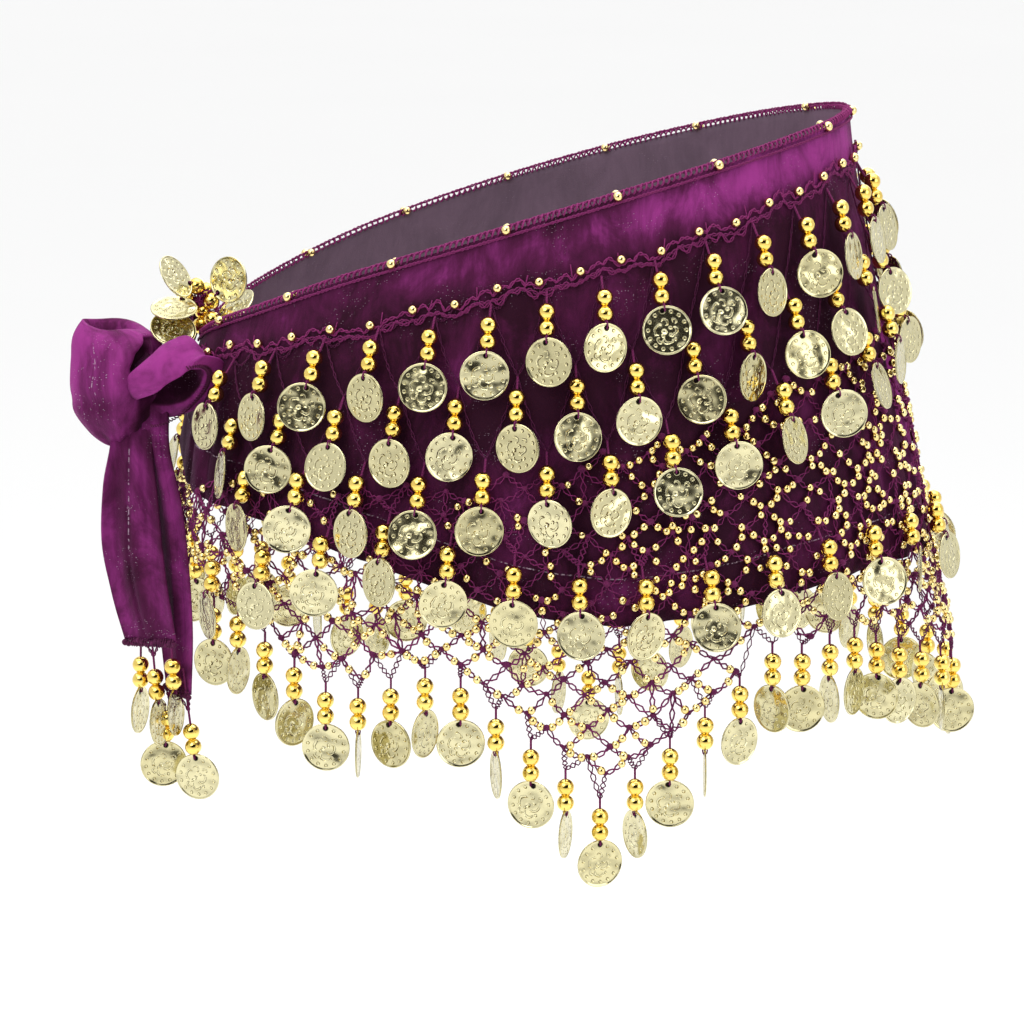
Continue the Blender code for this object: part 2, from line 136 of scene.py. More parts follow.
# Creases of the velvet: where each starts and ends, in share and in the part of the way from
# the top edge (0) to the hem (1), how wide it is in share, and how deep in mm. Ridges have a depth below 0.
# Creases of the velvet: the share and the part of the way down where each starts and ends, how wide, and how deep
# in mm. A depth below 0 is a ridge.
Crease = namedtuple("Crease", "share_top top share_foot foot wide depth")
CREASES = (
    Crease(0.055, 0.22, 0.075, 1.05, 0.010, 2.6),
    Crease(0.095, 0.35, 0.105, 1.05, 0.009, -0.6),
    Crease(0.135, 0.28, 0.125, 1.00, 0.008, 2.1),
    Crease(0.185, 0.40, 0.170, 1.05, 0.012, 1.7),
    Crease(0.225, 0.05, 0.240, 0.55, 0.010, 0.9),
    Crease(0.275, 0.45, 0.265, 1.05, 0.009, 1.5),
    Crease(0.330, 0.20, 0.345, 0.80, 0.011, 1.2),
    Crease(0.392, 0.50, 0.380, 1.05, 0.010, 1.9),
    Crease(0.425, 0.12, 0.440, 0.62, 0.008, 1.1),
    Crease(0.480, 0.38, 0.465, 1.05, 0.013, 2.0),
    Crease(0.520, 0.10, 0.528, 0.50, 0.009, 0.8),
    Crease(0.560, 0.42, 0.572, 1.05, 0.010, 1.8),
    Crease(0.600, 0.55, 0.612, 1.05, 0.007, -0.6),
    Crease(0.645, 0.30, 0.660, 1.05, 0.011, 1.9),
    Crease(0.700, 0.10, 0.715, 0.90, 0.009, 1.2),
    Crease(0.765, 0.25, 0.775, 1.05, 0.010, 2.0),
    Crease(0.830, 0.12, 0.822, 1.00, 0.009, 1.6),
    Crease(0.885, 0.05, 0.872, 0.95, 0.008, 2.2),
    Crease(0.930, 0.05, 0.915, 1.00, 0.007, 2.4),
    Crease(-0.045, 0.30, -0.060, 1.05, 0.009, 2.2),
    Crease(-0.110, 0.18, -0.100, 0.95, 0.011, 1.5),
    Crease(-0.165, 0.45, -0.180, 1.05, 0.009, 1.9),
    Crease(-0.235, 0.25, -0.225, 0.85, 0.012, 1.2),
    Crease(-0.300, 0.50, -0.312, 1.05, 0.010, 2.0),
    Crease(-0.365, 0.12, -0.355, 0.70, 0.009, 0.9),
    Crease(-0.430, 0.35, -0.445, 1.05, 0.012, 2.1),
    Crease(-0.500, 0.55, -0.490, 1.05, 0.008, 1.4),
    Crease(-0.555, 0.20, -0.570, 0.80, 0.011, 1.3),
    Crease(-0.625, 0.40, -0.615, 1.05, 0.010, 1.8),
    Crease(-0.700, 0.15, -0.712, 0.95, 0.009, 1.6),
    Crease(-0.780, 0.30, -0.770, 1.05, 0.011, 1.9),
    Crease(-0.850, 0.10, -0.862, 0.95, 0.008, 2.0),
    Crease(-0.920, 0.05, -0.905, 1.00, 0.008, 2.3),
)

# How light the nap lies, with painted light and shade where the light falls and on the folds: where, in share and mm
# below the top edge, how far it reaches, and how much lighter
NapAndPaintedLightPatch = namedtuple("NapAndPaintedLightPatch", "share down reach_share reach_down light")
NAP_AND_PAINTED_LIGHT_PATCHES = (
    NapAndPaintedLightPatch(0.12, 9, 0.11, 13, 0.85),
    NapAndPaintedLightPatch(0.30, 10, 0.10, 12, 0.72),
    NapAndPaintedLightPatch(0.46, 12, 0.08, 11, 0.55),
    NapAndPaintedLightPatch(0.62, 10, 0.08, 10, 0.45),
    NapAndPaintedLightPatch(0.80, 8, 0.08, 9, 0.25),
    NapAndPaintedLightPatch(0.44, 44, 0.03, 16, 0.28),
    NapAndPaintedLightPatch(0.30, 52, 0.03, 20, 0.20),
    NapAndPaintedLightPatch(0.60, 56, 0.02, 14, 0.24),
    NapAndPaintedLightPatch(0.53, 112, 0.03, 22, 0.34),
    NapAndPaintedLightPatch(0.63, 108, 0.04, 18, 0.42),
    NapAndPaintedLightPatch(0.74, 92, 0.02, 15, 0.30),
    NapAndPaintedLightPatch(0.13, 120, 0.02, 40, 0.5),
    NapAndPaintedLightPatch(0.05, 110, 0.018, 60, 0.9),
    NapAndPaintedLightPatch(0.08, 45, 0.03, 26, 0.5),
    NapAndPaintedLightPatch(0.24, 108, 0.035, 13, 0.32),
    NapAndPaintedLightPatch(0.22, 160, 0.05, 18, 0.22),
    NapAndPaintedLightPatch(0.42, 158, 0.07, 9, 0.36),
    NapAndPaintedLightPatch(-0.15, 12, 0.14, 14, 0.70),
    NapAndPaintedLightPatch(-0.45, 12, 0.12, 13, 0.55),
    NapAndPaintedLightPatch(-0.75, 10, 0.12, 11, 0.40),
    NapAndPaintedLightPatch(-0.04, 70, 0.02, 40, 0.5),
    NapAndPaintedLightPatch(-0.10, 110, 0.03, 40, 0.45),
    NapAndPaintedLightPatch(-0.30, 120, 0.04, 30, 0.30),
    NapAndPaintedLightPatch(-0.50, 110, 0.03, 35, 0.36),
    NapAndPaintedLightPatch(-0.68, 100, 0.04, 25, 0.32),
    NapAndPaintedLightPatch(-0.86, 60, 0.03, 30, 0.34),
)

# Drops: distances down from a strip, in mm
BEAD_DOWN = (6.0, 12.6)
HOLE_LEVEL, FOOT_LEVEL, COIN_CENTRE_DOWN = 15.8, 35.6, 25.8
COIN_HOLE_BELOW_EDGE = 2.0
STRIP_HEIGHT = 1.8 * MM
COIN_LEAN = 5.5 * MM
ROW_LEAN_BACK = 17.0
SEAM_ABOVE_HEM = 0.0195

# How much of its depth a row keeps along the scarf
Drawn = namedtuple("Drawn", "share height")
ROWS_DRAWN = (
    Drawn(0.0, 0.75),
    Drawn(0.1, 0.8),
    Drawn(0.2, 0.89),
    Drawn(0.3, 0.95),
    Drawn(0.42, 1.02),
    Drawn(0.5, 1.0),
    Drawn(0.6, 0.93),
    Drawn(0.7, 0.82),
    Drawn(0.8, 0.7),
    Drawn(0.9, 0.64),
    Drawn(1.0, 0.6),
)
# Rows of drops: depth below the top edge in mm, first place, last share in front and behind, how far out the beads
# lie in mm, and how far and in what phase the coins turn. The last row follows the velvet's lower edge.
Row = namedtuple("Row", "name depth first front back bead_out swing phase")
DROPS_TO_A_SIDE = 17
TURN_STEP = 2.4
ROWS = (
    Row("coin_row_1", 28, 0.5, 0.865, 0.95, 7.8, 24, 3.3),
    Row("coin_row_2", 60, 0.0, 0.85, 0.95, 6.8, 30, 1.7),
    Row("coin_row_3", 92, 0.5, 0.84, 0.95, 8.3, 30, 3.4),
    Row("coin_row_4", None, 0.0, 0.83, 0.90, 8.3, 30, 5.1),
)
LAST_ROW_ABOVE_HEM = 25 * MM
LAST_ROW_LEAST_DEPTH = 100 * MM
HEM_GAP = 0.45 * MM
HEM_DROPS_FRONT = 26
HEM_DROPS_BACK = 28
HEM_SWING = (18, 72)
HEM_DROP_OUT = 2.9 * MM

# Crochet
NET_CELL_SHARE = 0.0193
NET_CELL_HEIGHT = 6.6 * MM
NET_POINT_HEIGHT = -234 * MM
NET_LAST_COLUMN = 49
NET_OUT = 2.9 * MM
THREAD_OUT = 2.5 * MM
DENSE_SHARE = 0.45
ChainLevel = namedtuple("ChainLevel", "share height")
CHAIN_DEPTH = (
    ChainLevel(0.0, 18),
    ChainLevel(0.12, 19.5),
    ChainLevel(0.25, 24),
    ChainLevel(0.4, 27.5),
    ChainLevel(0.55, 25),
    ChainLevel(0.7, 23.5),
    ChainLevel(0.8, 18.5),
    ChainLevel(0.9, 14),
    ChainLevel(1.0, 10),
)

# Knot and tie ends
KNOT_CENTRE = Vector((-180.5, -20, 0)) * MM
# Rings of the knot's drum, from inside its mouth over the rim to its foot: height, half its width and depth in mm,
# how steeply it slopes, and how far it is moved along X
DrumLevel = namedtuple("DrumLevel", "height across deep slope shift")
KNOT_DRUM = (
    DrumLevel(-82, 3, 2, 0.08, -5),
    DrumLevel(-74, 6, 4, 0.08, -5),
    DrumLevel(-64, 8, 5.5, 0.08, -5),
    DrumLevel(-57, 9, 6.5, 0.08, -5),
    DrumLevel(-54, 10.5, 8.5, 0.08, -4.5),
    DrumLevel(-54, 13, 11, 0.08, -3),
    DrumLevel(-57, 17, 15, 0.12, -1.2),
    DrumLevel(-63, 20.5, 19, 0.12, -0.2),
    DrumLevel(-73, 22, 22, 0.08, 0.3),
    DrumLevel(-88, 21.5, 20, 0.0, 0),
    DrumLevel(-99, 15, 13, 0.0, 0),
    DrumLevel(-105, 8, 7, 0.0, 0),
    DrumLevel(-106, 3, 3, 0.0, 0),
)
# Creases down the drum: angle, how far it turns and how wide it is in degrees, depth in mm, and where it starts and
# ends on the way from the mouth to the foot
KnotCrease = namedtuple("KnotCrease", "angle turn wide depth start end")
KNOT_CREASES = (
    KnotCrease(-128, 10, 9, 1.0, 0.72, 1.1),
    KnotCrease(-99, -3, 7, 0.8, 0.76, 1.1),
    KnotCrease(-72, -8, 8, 1.5, 0.70, 1.1),
    KnotCrease(-40, -20, 9, 1.5, 0.50, 1.1),
    KnotCrease(-158, 10, 10, 1.1, 0.60, 1.1),
    KnotCrease(175, 12, 10, 1.6, 0.42, 1.1),
    KnotCrease(130, 6, 11, 1.7, 0.40, 1.1),
    KnotCrease(90, -8, 10, 1.4, 0.45, 1.1),
    KnotCrease(40, -12, 10, 1.5, 0.45, 1.1),
    KnotCrease(-110, 34, 5, 0.8, 0.36, 0.62),
)
# Soft folds that lie across the drum: their height in mm, half their height, depth, angle in degrees and reach
KnotFold = namedtuple("KnotFold", "height tall depth angle reach")
KNOT_FOLDS = (
    KnotFold(-85.5, 2.6, 1.9, -112, 44),
    KnotFold(-69, 3.5, 0.9, -140, 26),
    KnotFold(-76, 5, -1.2, -98, 30),
    KnotFold(-92, 3.5, -1.3, -80, 22),
    KnotFold(-84, 3, 1.5, 120, 60),
)
# The edge of the drum's cheek, where the rolled band comes out from behind it: height in mm, angle in degrees, and
# how deep the slot beside it is in mm
CheekLevel = namedtuple("CheekLevel", "height angle deep")
CHEEK_EDGE = (
    CheekLevel(-88, -60, 0),
    CheekLevel(-83, -66, 1.0),
    CheekLevel(-79, -72, 6.0),
    CheekLevel(-70, -77, 8.5),
    CheekLevel(-63, -68, 7.5),
    CheekLevel(-57, -48, 3.5),
    CheekLevel(-52, -30, 0),
)
# Rings of the rolled band, from its back over the rim into its hollow: centre, half its long and short width, and
# how far its rim flares, in mm
RollLevel = namedtuple("RollLevel", "x y z long short flare")
ROLL_FACES = Vector((0.45, -0.68, -0.58)).normalized()
ROLL_LONG = Vector((0.74, -0.18, 0.65))
ROLL_TUCK = Vector((-6.5, 13, 5.5))
ROLL_SHALLOW = 4.5
ROLL_STITCHES = 44
KNOT_ROLL = (
    RollLevel(-160, -31, -65, 4, 3, 0),
    RollLevel(-160, -34, -66, 12, 8.5, 0),
    RollLevel(-159.5, -38, -68.5, 16, 11.5, 0),
    RollLevel(-158.5, -42, -72, 18, 13, 0),
    RollLevel(-157.3, -45.2, -75.5, 18.2, 12.8, 0.4),
    RollLevel(-156, -48.2, -78.2, 17.6, 11.8, 2.5),
    RollLevel(-155.4, -49.6, -79.6, 16.8, 10.6, 5.4),
    RollLevel(-155.2, -50.3, -80.2, 16.0, 9.6, 5.2),
    RollLevel(-155.6, -49.6, -79.6, 15.2, 8.8, 1.2),
    RollLevel(-156.6, -47.2, -77.2, 14.8, 8.8, 0),
    RollLevel(-158, -44, -73, 14, 9, 0),
    RollLevel(-160, -40, -69.5, 11, 7, 0),
    RollLevel(-161, -38.5, -68, 3, 2, 0),
)
# Tie ends, from the top down: the X and Y of each edge, how deep the waves across are, and how much higher the right
# edge is, in mm
TailLevel = namedtuple("TailLevel", "height left left_front right right_front wave rise")
TAILS = {
    "tail_front": (
        TailLevel(-84, -176, -23, -168, -29, 0.3, 0),
        TailLevel(-96, -183.5, -25, -167, -34, 0.8, 0),
        TailLevel(-108, -185.5, -31, -166.5, -40, 1.6, 0),
        TailLevel(-122, -187.5, -36, -164.5, -48, 2.5, 0),
        TailLevel(-145, -188, -40, -162, -57, 3.0, 1.0),
        TailLevel(-167, -184, -43, -159, -62, 2.0, 2.2),
        TailLevel(-186, -178.5, -46, -156, -64, 1.0, 3.4),
    ),
    "tail_rear": (
        TailLevel(-76, -171, -29, -161, -31, 0.3, 0),
        TailLevel(-88, -171, -31, -160, -36, 0.6, 0),
        TailLevel(-104, -171, -33, -159.5, -42, 1.0, 0),
        TailLevel(-128, -168, -38, -153.5, -54, 1.2, 0),
        TailLevel(-155, -166, -43, -150.5, -60, 1.5, 0),
        TailLevel(-180, -164, -45, -149.5, -61, 1.3, 0),
        TailLevel(-205, -161.5, -47, -150.5, -61, 0.8, -1),
    ),
    "tie_tip": (
        TailLevel(-67, -160, 9, -152, 9, 0.0, 0),
        TailLevel(-59, -157, 10, -149, 10, 1.0, 0),
        TailLevel(-54, -154, 11, -146, 11, 1.5, 0),
        TailLevel(-49, -151, 11, -144, 11, 0.5, 0),
    ),
}
TUFT_CENTRE = (-146, 3, -47)
# Creases down a tie end: the part of its width where each lies, how wide it is, and its depth in mm
TailCrease = namedtuple("TailCrease", "across wide depth")
TAIL_CREASES = {
    "tail_front": (TailCrease(0.2, 0.07, 0.9), TailCrease(0.46, 0.045, 2.2), TailCrease(0.72, 0.08, -1.0)),
    "tail_rear": (TailCrease(0.3, 0.06, 1.2), TailCrease(0.55, 0.05, -0.8), TailCrease(0.78, 0.05, 1.4)),
    "tie_tip": (TailCrease(0.4, 0.1, 0.6), TailCrease(0.75, 0.1, 0.6)),
}
# Drops of the tie ends: where each starts, how much thread is above its beads in mm, the way it points, and the
# way its coin faces
EndDrop = namedtuple("EndDrop", "x y z thread points faces")
END_DROPS = {
    "tail_front_drops": (
        EndDrop(-171.5, -50, -186.5, 1, (-0.03, 0, -1), (0.96, -0.28, 0)),
        EndDrop(-166, -56, -186.5, 5, (0.08, 0, -1), (0.95, -0.31, 0)),
        EndDrop(-157.5, -62.5, -184.5, 1, (0.06, 0, -1), (0.97, -0.24, 0)),
    ),
    "tail_rear_drops": (
        EndDrop(-158.5, -49, -194.5, 17, (-0.1, 0, -1), (0.2, -0.98, 0)),
        EndDrop(-153, -60, -194.5, 20, (0.12, 0, -1), (-0.35, -0.94, 0)),
    ),
    "tie_tip_drops": (
        EndDrop(-151.5, 12, -41, 0, (-0.27, -0.90, -0.34), (0, -0.4, 0.9)),
        EndDrop(-153, 6.5, -44, 0, (-0.22, -0.80, -0.56), (0.25, -0.5, 0.8)),
        EndDrop(-142, 10, -47, 0, (-0.55, -0.62, 0.36), (0.25, -0.72, 0.65)),
        EndDrop(-151, 6, -58, 0, (0.48, -0.25, 0.60), (0.1, -0.9, 0.75)),
        EndDrop(-153, 3, -62, 0, (0.72, -0.35, 0.42), (0.75, 0.25, -0.6)),
    ),
}

# Studio
CAMERA_AIM = Vector((-14, 0, -139)) * MM
CAMERA_DISTANCE = 1.7
CAMERA_ELEVATION = math.radians(11)
CAMERA_LENS = 137.5
FLOOR_HEIGHT = -0.9
FLOOR_RADIUS = 40
FLOOR_SIDES = 64
StudioLight = namedtuple("StudioLight", "name x y z wide power")
STUDIO_LIGHTS = (
    StudioLight("key", -1.1, -1.7, 1.5, 1.8, 26),
    StudioLight("fill", 1.9, -1.3, 0.5, 1.6, 12),
    StudioLight("top", 0.1, 0.2, 1.9, 2.0, 20),
    StudioLight("rear", 0.4, 2.2, 0.8, 1.8, 12),
)
CEILING_POWER = 1.7
# The side of the room that the metal sees dark
DARK_SIDE = (0.0, -0.77, 0.64)


# Curves and places


def curve_at(table, share):
    """Heights in metres that a table gives at shares, on a smooth curve through its rows, level at the middle."""
    at = np.array([row.share for row in table], float)
    height = np.array([row.height for row in table], float)
    slope = np.zeros(len(at))
    slope[1:-1] = (height[2:] - height[:-2]) / (at[2:] - at[:-2])
    slope[-1] = (height[-1] - height[-2]) / (at[-1] - at[-2])
    share = np.clip(np.abs(share), 0, at[-1])
    i = np.clip(np.searchsorted(at, share, side="left") - 1, 0, len(at) - 2)
    width = at[i + 1] - at[i]
    t = (share - at[i]) / width
    return MM * (
        (2 * t**3 - 3 * t**2 + 1) * height[i]
        + (t**3 - 2 * t**2 + t) * width * slope[i]
        + (3 * t**2 - 2 * t**3) * height[i + 1]
        + (t**3 - t**2) * width * slope[i + 1]
    )


def line_at(table, share):
    """Heights in metres that a table gives at shares, on straight lines between its rows."""
    return MM * np.interp(np.abs(share), [row.share for row in table], [row.height for row in table])


def eased(t):
    t = np.clip(t, 0.0, 1.0)
    return t * t * (3 - 2 * t)


def half_width(height):
    drop = (WAIST_HEIGHT - height) / (WAIST_HEIGHT - HIP_HEIGHT)
    return WAIST_HALF_WIDTH + (HIP_HALF_WIDTH - WAIST_HALF_WIDTH) * eased(drop)


def fold_out(share, height):
    out = 0.0
    for fold in FOLDS:
        near = np.exp(-(((np.abs(share) - fold.share) / fold.reach) ** 2))
        out = out + fold.depth * MM * near * eased((height / MM - fold.start) / (fold.full - fold.start))
    return out


def place(share, height, out):
    """Places on the scarf, out from the hip form, one row of x, y and z for each share and height."""
    share, height, out = np.broadcast_arrays(np.asarray(share, float), height, out)
    angle = math.pi * share + EVEN_SPACING * np.sin(2 * math.pi * share)
    out = out + fold_out(share, height)
    wide = half_width(height) + out
    deep = half_width(height) * DEPTH_SHARE + out
    return np.stack([wide * np.cos(angle), -deep * np.sin(angle), height], -1)


def odd(*seeds):
    """A value from 0 to 1 that looks random and is the same each time."""
    total = sum(np.asarray(seed, float) * step for seed, step in zip(seeds, (12.9898, 78.233, 37.719)))
    return np.mod(np.sin(total) * 43758.5453, 1.0)


def unit(vectors):
    return vectors / np.maximum(np.linalg.norm(vectors, axis=-1, keepdims=True), 1e-12)


# Gathering meshes


class Gather:
    """Gathers the vertices, faces and values of one piece. Each vertex has a spot, which the materials read as
    a place on its own cloth, coin or thread, and a tone, which on the velvet also carries painted light and shade."""

    def __init__(self):
        self.verts, self.spots, self.tones = [], [], []
        self.faces, self.slots = [], []
        self.count = 0

    def add(self, verts, faces, slot=0, spot=(0.0, 0.0, 0.0), tone=0.0):
        verts = np.asarray(verts, float).reshape(-1, 3)
        self.verts.append(verts)
        self.spots.append(np.broadcast_to(np.asarray(spot, float), verts.shape))
        self.tones.append(np.broadcast_to(np.asarray(tone, float).reshape(-1), (len(verts),)))
        self.faces.append(np.asarray(faces, int) + self.count)
        self.slots.append(np.full(len(faces), slot))
        self.count += len(verts)

    def piece(self, name, materials):
        verts = np.concatenate(self.verts).astype(np.float32)
        faces = np.concatenate(self.faces)
        mesh = bpy.data.meshes.new(name)
        mesh.vertices.add(len(verts))
        mesh.vertices.foreach_set("co", verts.ravel())
        mesh.loops.add(faces.size)
        mesh.loops.foreach_set("vertex_index", faces.astype(np.int32).ravel())
        mesh.polygons.add(len(faces))
        mesh.polygons.foreach_set("loop_start", np.arange(0, faces.size, 4, dtype=np.int32))
        mesh.polygons.foreach_set("material_index", np.concatenate(self.slots).astype(np.int32))
        mesh.update(calc_edges=True)
        spots = mesh.attributes.new("spot", "FLOAT_VECTOR", "POINT")
        spots.data.foreach_set("vector", np.concatenate(self.spots).astype(np.float32).ravel())
        tones = mesh.attributes.new("tone", "FLOAT", "POINT")
        tones.data.foreach_set("value", np.concatenate(self.tones).astype(np.float32))
        for material in materials:
            mesh.materials.append(material)
        mesh.shade_smooth()
        obj = bpy.data.objects.new(name, mesh)
        bpy.context.scene.collection.objects.link(obj)
        return obj


def grid_faces(rows, columns, closed=False):
    """Faces of a grid of rows by columns of vertices, joined round if it is closed."""
    i, j = np.meshgrid(np.arange(rows - 1), np.arange(columns if closed else columns - 1), indexing="ij")
    after = (j + 1) % columns
    faces = [i * columns + j, i * columns + after, (i + 1) * columns + after, (i + 1) * columns + j]
    return np.stack(faces, -1).reshape(-1, 4)


def repeated(faces, count, step):
    """The same faces for many like parts, each step vertices after the last."""
    return (faces[None] + step * np.arange(count)[:, None, None]).reshape(-1, 4)


def add_tubes(gather, paths, radius, sides, slot=0, tone=0.0):
    """Round threads along many paths with equally many points each."""
    paths = np.asarray(paths, float)
    count, points = paths.shape[:2]
    along = unit(np.gradient(paths, axis=1))
    out = paths * (1.0, 1.0, 0.0) + (0.0, 0.0, 1e-5)
    across = unit(np.cross(along, unit(out) + (0.0, 0.0, 0.02)))
    through = np.cross(across, along)
    turn = 2 * math.pi * np.arange(sides) / sides
    radius = np.broadcast_to(radius, (count, points))[..., None, None]
    ring = across[:, :, None] * np.cos(turn)[:, None] + through[:, :, None] * np.sin(turn)[:, None]
    verts = paths[:, :, None] + ring * radius
    length = np.cumsum(np.linalg.norm(np.diff(paths, axis=1, prepend=paths[:, :1]), axis=2), axis=1)
    spot = np.zeros(verts.shape)
    spot[..., 0] = length[:, :, None]
    spot[..., 1] = turn
    tone = np.broadcast_to(np.reshape(tone, (-1, 1, 1)), verts.shape[:3])
    faces = repeated(grid_faces(points, sides, closed=True), count, points * sides)
    gather.add(verts, faces, slot, spot.reshape(-1, 3), tone)


def add_twisted(gather, paths, apart, turns, radius, sides, slot=0, tone=0.0, strands=2):
    """Threads of two strands that wind round each other, which open and close like a crocheted chain."""
    paths = np.asarray(paths, float)
    count, points = paths.shape[:2]
    along = unit(np.gradient(paths, axis=1))
    across = unit(np.cross(along, unit(paths * (1.0, 1.0, 0.0) + (0.0, 0.0, 1e-5)) + (0.0, 0.0, 0.02)))
    through = np.cross(across, along)
    t = np.linspace(0.0, 1.0, points)
    start = 2 * math.pi * odd(np.arange(count), 3)[:, None]
    for strand in range(strands):
        turn = start + 2 * math.pi * (turns * t + strand / strands)
        wide = apart * (0.35 + 0.65 * np.sin(math.pi * t) ** 0.5)
        offset = across * (np.cos(turn) * wide)[..., None] + through * (0.45 * np.sin(turn) * wide)[..., None]
        add_tubes(gather, paths + offset, radius, sides, slot, tone)


def ball(segments, rings):
    """Vertices and faces of a unit ball whose poles are small rings."""
    fall = np.linspace(0.06, math.pi - 0.06, rings)
    turn = 2 * math.pi * np.arange(segments) / segments
    verts = np.stack(
        [np.outer(np.sin(fall), np.cos(turn)), np.outer(np.sin(fall), np.sin(turn)),
         np.outer(np.cos(fall), np.ones(segments))],
        -1,
    )
    return verts.reshape(-1, 3), grid_faces(rings, segments, closed=True)


def add_balls(gather, centres, radius, segments, rings, slot=0, tone=0.0, squash=1.0):
    centres = np.asarray(centres, float).reshape(-1, 3)
    shape, faces = ball(segments, rings)
    radius = np.broadcast_to(np.reshape(radius, (-1, 1, 1)), (len(centres), 1, 1))
    verts = centres[:, None] + shape[None] * (1.0, 1.0, squash) * radius
    spot = np.broadcast_to(shape, verts.shape).copy()
    tone = np.broadcast_to(np.reshape(tone, (-1, 1)), verts.shape[:2])
    gather.add(verts, repeated(faces[:, ::-1], len(centres), len(shape)), slot, spot.reshape(-1, 3), tone)


# Drops

Drop = namedtuple("Drop", "root beads hole coin across up through seed")


def turned(share, degrees):
    """The directions across and out of the scarf at a share, turned about the vertical."""
    along = Vector(place(share + 0.001, 0.0, 0.0) - place(share - 0.001, 0.0, 0.0))
    along.z = 0
    along.normalize()
    out = Vector((-along.y, along.x, 0))
    if out.dot(Vector(place(share, 0.0, 0.0))) < 0:
        out.negate()
    turn = math.radians(degrees)
    return (
        along * math.cos(turn) + out * math.sin(turn),
        out * math.cos(turn) - along * math.sin(turn),
    )


def coin_frame(hole, foot, through):
    """The coin's own across, up and through directions, for a coin that hangs from hole towards foot."""
    down = (foot - hole).normalized()
    through = (through - down * through.dot(down)).normalized()
    return through.cross(-down) * -1.0, -down, through


def hung_drop(share, top, degrees, bead_out, coin_out, seed):
    """Where a drop's root, beads, coin and the coin's directions are, for a drop that hangs at a share."""
    _, through = turned(share, degrees)
    hole = Vector(place(share, top - HOLE_LEVEL * MM, (bead_out + coin_out) / 2))
    foot = Vector(place(share, top - FOOT_LEVEL * MM, coin_out))
    across, up, through = coin_frame(hole, foot, through)
    beads = [Vector(place(share, top - down * MM, bead_out)) for down in BEAD_DOWN]
    root = Vector(place(share, top + STRIP_HEIGHT, min(bead_out, THREAD_OUT)))
    coin = hole - up * (COIN_CENTRE_DOWN - HOLE_LEVEL) * MM
    return Drop(root, beads, hole - up * COIN_HOLE_BELOW_EDGE * MM, coin, across, up, through, seed)


def row_depth(row, share):
    if row.depth is not None:
        return row.depth * curve_at(ROWS_DRAWN, share)
    velvet = curve_at(TOP_EDGE, share) - curve_at(VELVET_HEM, share)
    return np.maximum(velvet - LAST_ROW_ABOVE_HEM, LAST_ROW_LEAST_DEPTH)


def row_height(row, share):
    return curve_at(TOP_EDGE, share) - row_depth(row, share)


def row_places(row):
    """Pairs of share and turn of a row's drops."""
    shares = set()
    for i in range(DROPS_TO_A_SIDE):
        share = (i + row.first) / DROPS_TO_A_SIDE
        shares |= {s for s in (share, -share) if -row.back <= s <= row.front}
    return [(share, row.swing * math.sin(TURN_STEP * i + row.phase)) for i, share in enumerate(sorted(shares))]


def row_drops(row, seed):
    bead_out = row.bead_out * MM
    return [
        hung_drop(share, float(row_height(row, share)) - STRIP_HEIGHT, turn, bead_out, bead_out + COIN_LEAN, seed + i)
        for i, (share, turn) in enumerate(row_places(row))
    ]


def hem_places(side, count):
    places = []
    for i in range(0 if side > 0 else 1, count + 1):
        facing = HEM_SWING[i % 2]
        places.append((side * i * 2 * HALF_DROP_STEP, facing if (i // 2) % 2 else -facing))
    return sorted(places)


def hem_height(share):
    return line_at(NET_HEM, share) - HEM_GAP


def hem_drops(side, count, seed):
    return [
        hung_drop(share, float(hem_height(share)) - STRIP_HEIGHT, turn, HEM_DROP_OUT, HEM_DROP_OUT, seed + i)
        for i, (share, turn) in enumerate(hem_places(side, count))
    ]


def end_drops(ends, up, seed):
    drops = []
    for i, end in enumerate(ends):
        root = Vector((end.x, end.y, end.z)) * MM
        start = root + Vector((0, 0, up * STRIP_HEIGHT))
        points = Vector(end.points).normalized()
        hole = start + points * (HOLE_LEVEL + end.thread) * MM
        foot = start + points * (FOOT_LEVEL + end.thread) * MM
        across, coin_up, through = coin_frame(hole, foot, Vector(end.faces))
        beads = [start + points * (down + end.thread) * MM for down in BEAD_DOWN]
        coin = hole + points * (COIN_CENTRE_DOWN - HOLE_LEVEL) * MM
        hole = hole + points * COIN_HOLE_BELOW_EDGE * MM
        drops.append(Drop(root, beads, hole, coin, across, coin_up, through, seed + i))
    return drops


def coin_shape(sizes):
    """Vertices, faces and spots of a stamped coin: a thin dished disc with a raised rim on both faces."""
    segments = 36
    steps = (0.02, 0.5, 0.88, 0.945, 0.965, 1.0)
    rise = (0.30, 0.26, 0.20, 0.22, 0.42, 0.26)
    turn = 2 * math.pi * np.arange(segments) / segments
    rings = list(zip(steps, rise))
    rings += [(r, -0.44 + abs(h - 0.44) * 0.6) for r, h in rings[::-1]]
    verts = np.array([[(r * math.cos(a), r * math.sin(a), h) for a in turn] for r, h in rings])
    spot = verts.copy()
    spot[len(steps):, :, 0] *= -1
    verts[..., :2] *= sizes.coin_radius / MM
    verts[..., 2] *= sizes.coin_thickness / (0.9 * MM)
    return verts.reshape(-1, 3) * MM, grid_faces(len(rings), segments, closed=True), spot.reshape(-1, 3)


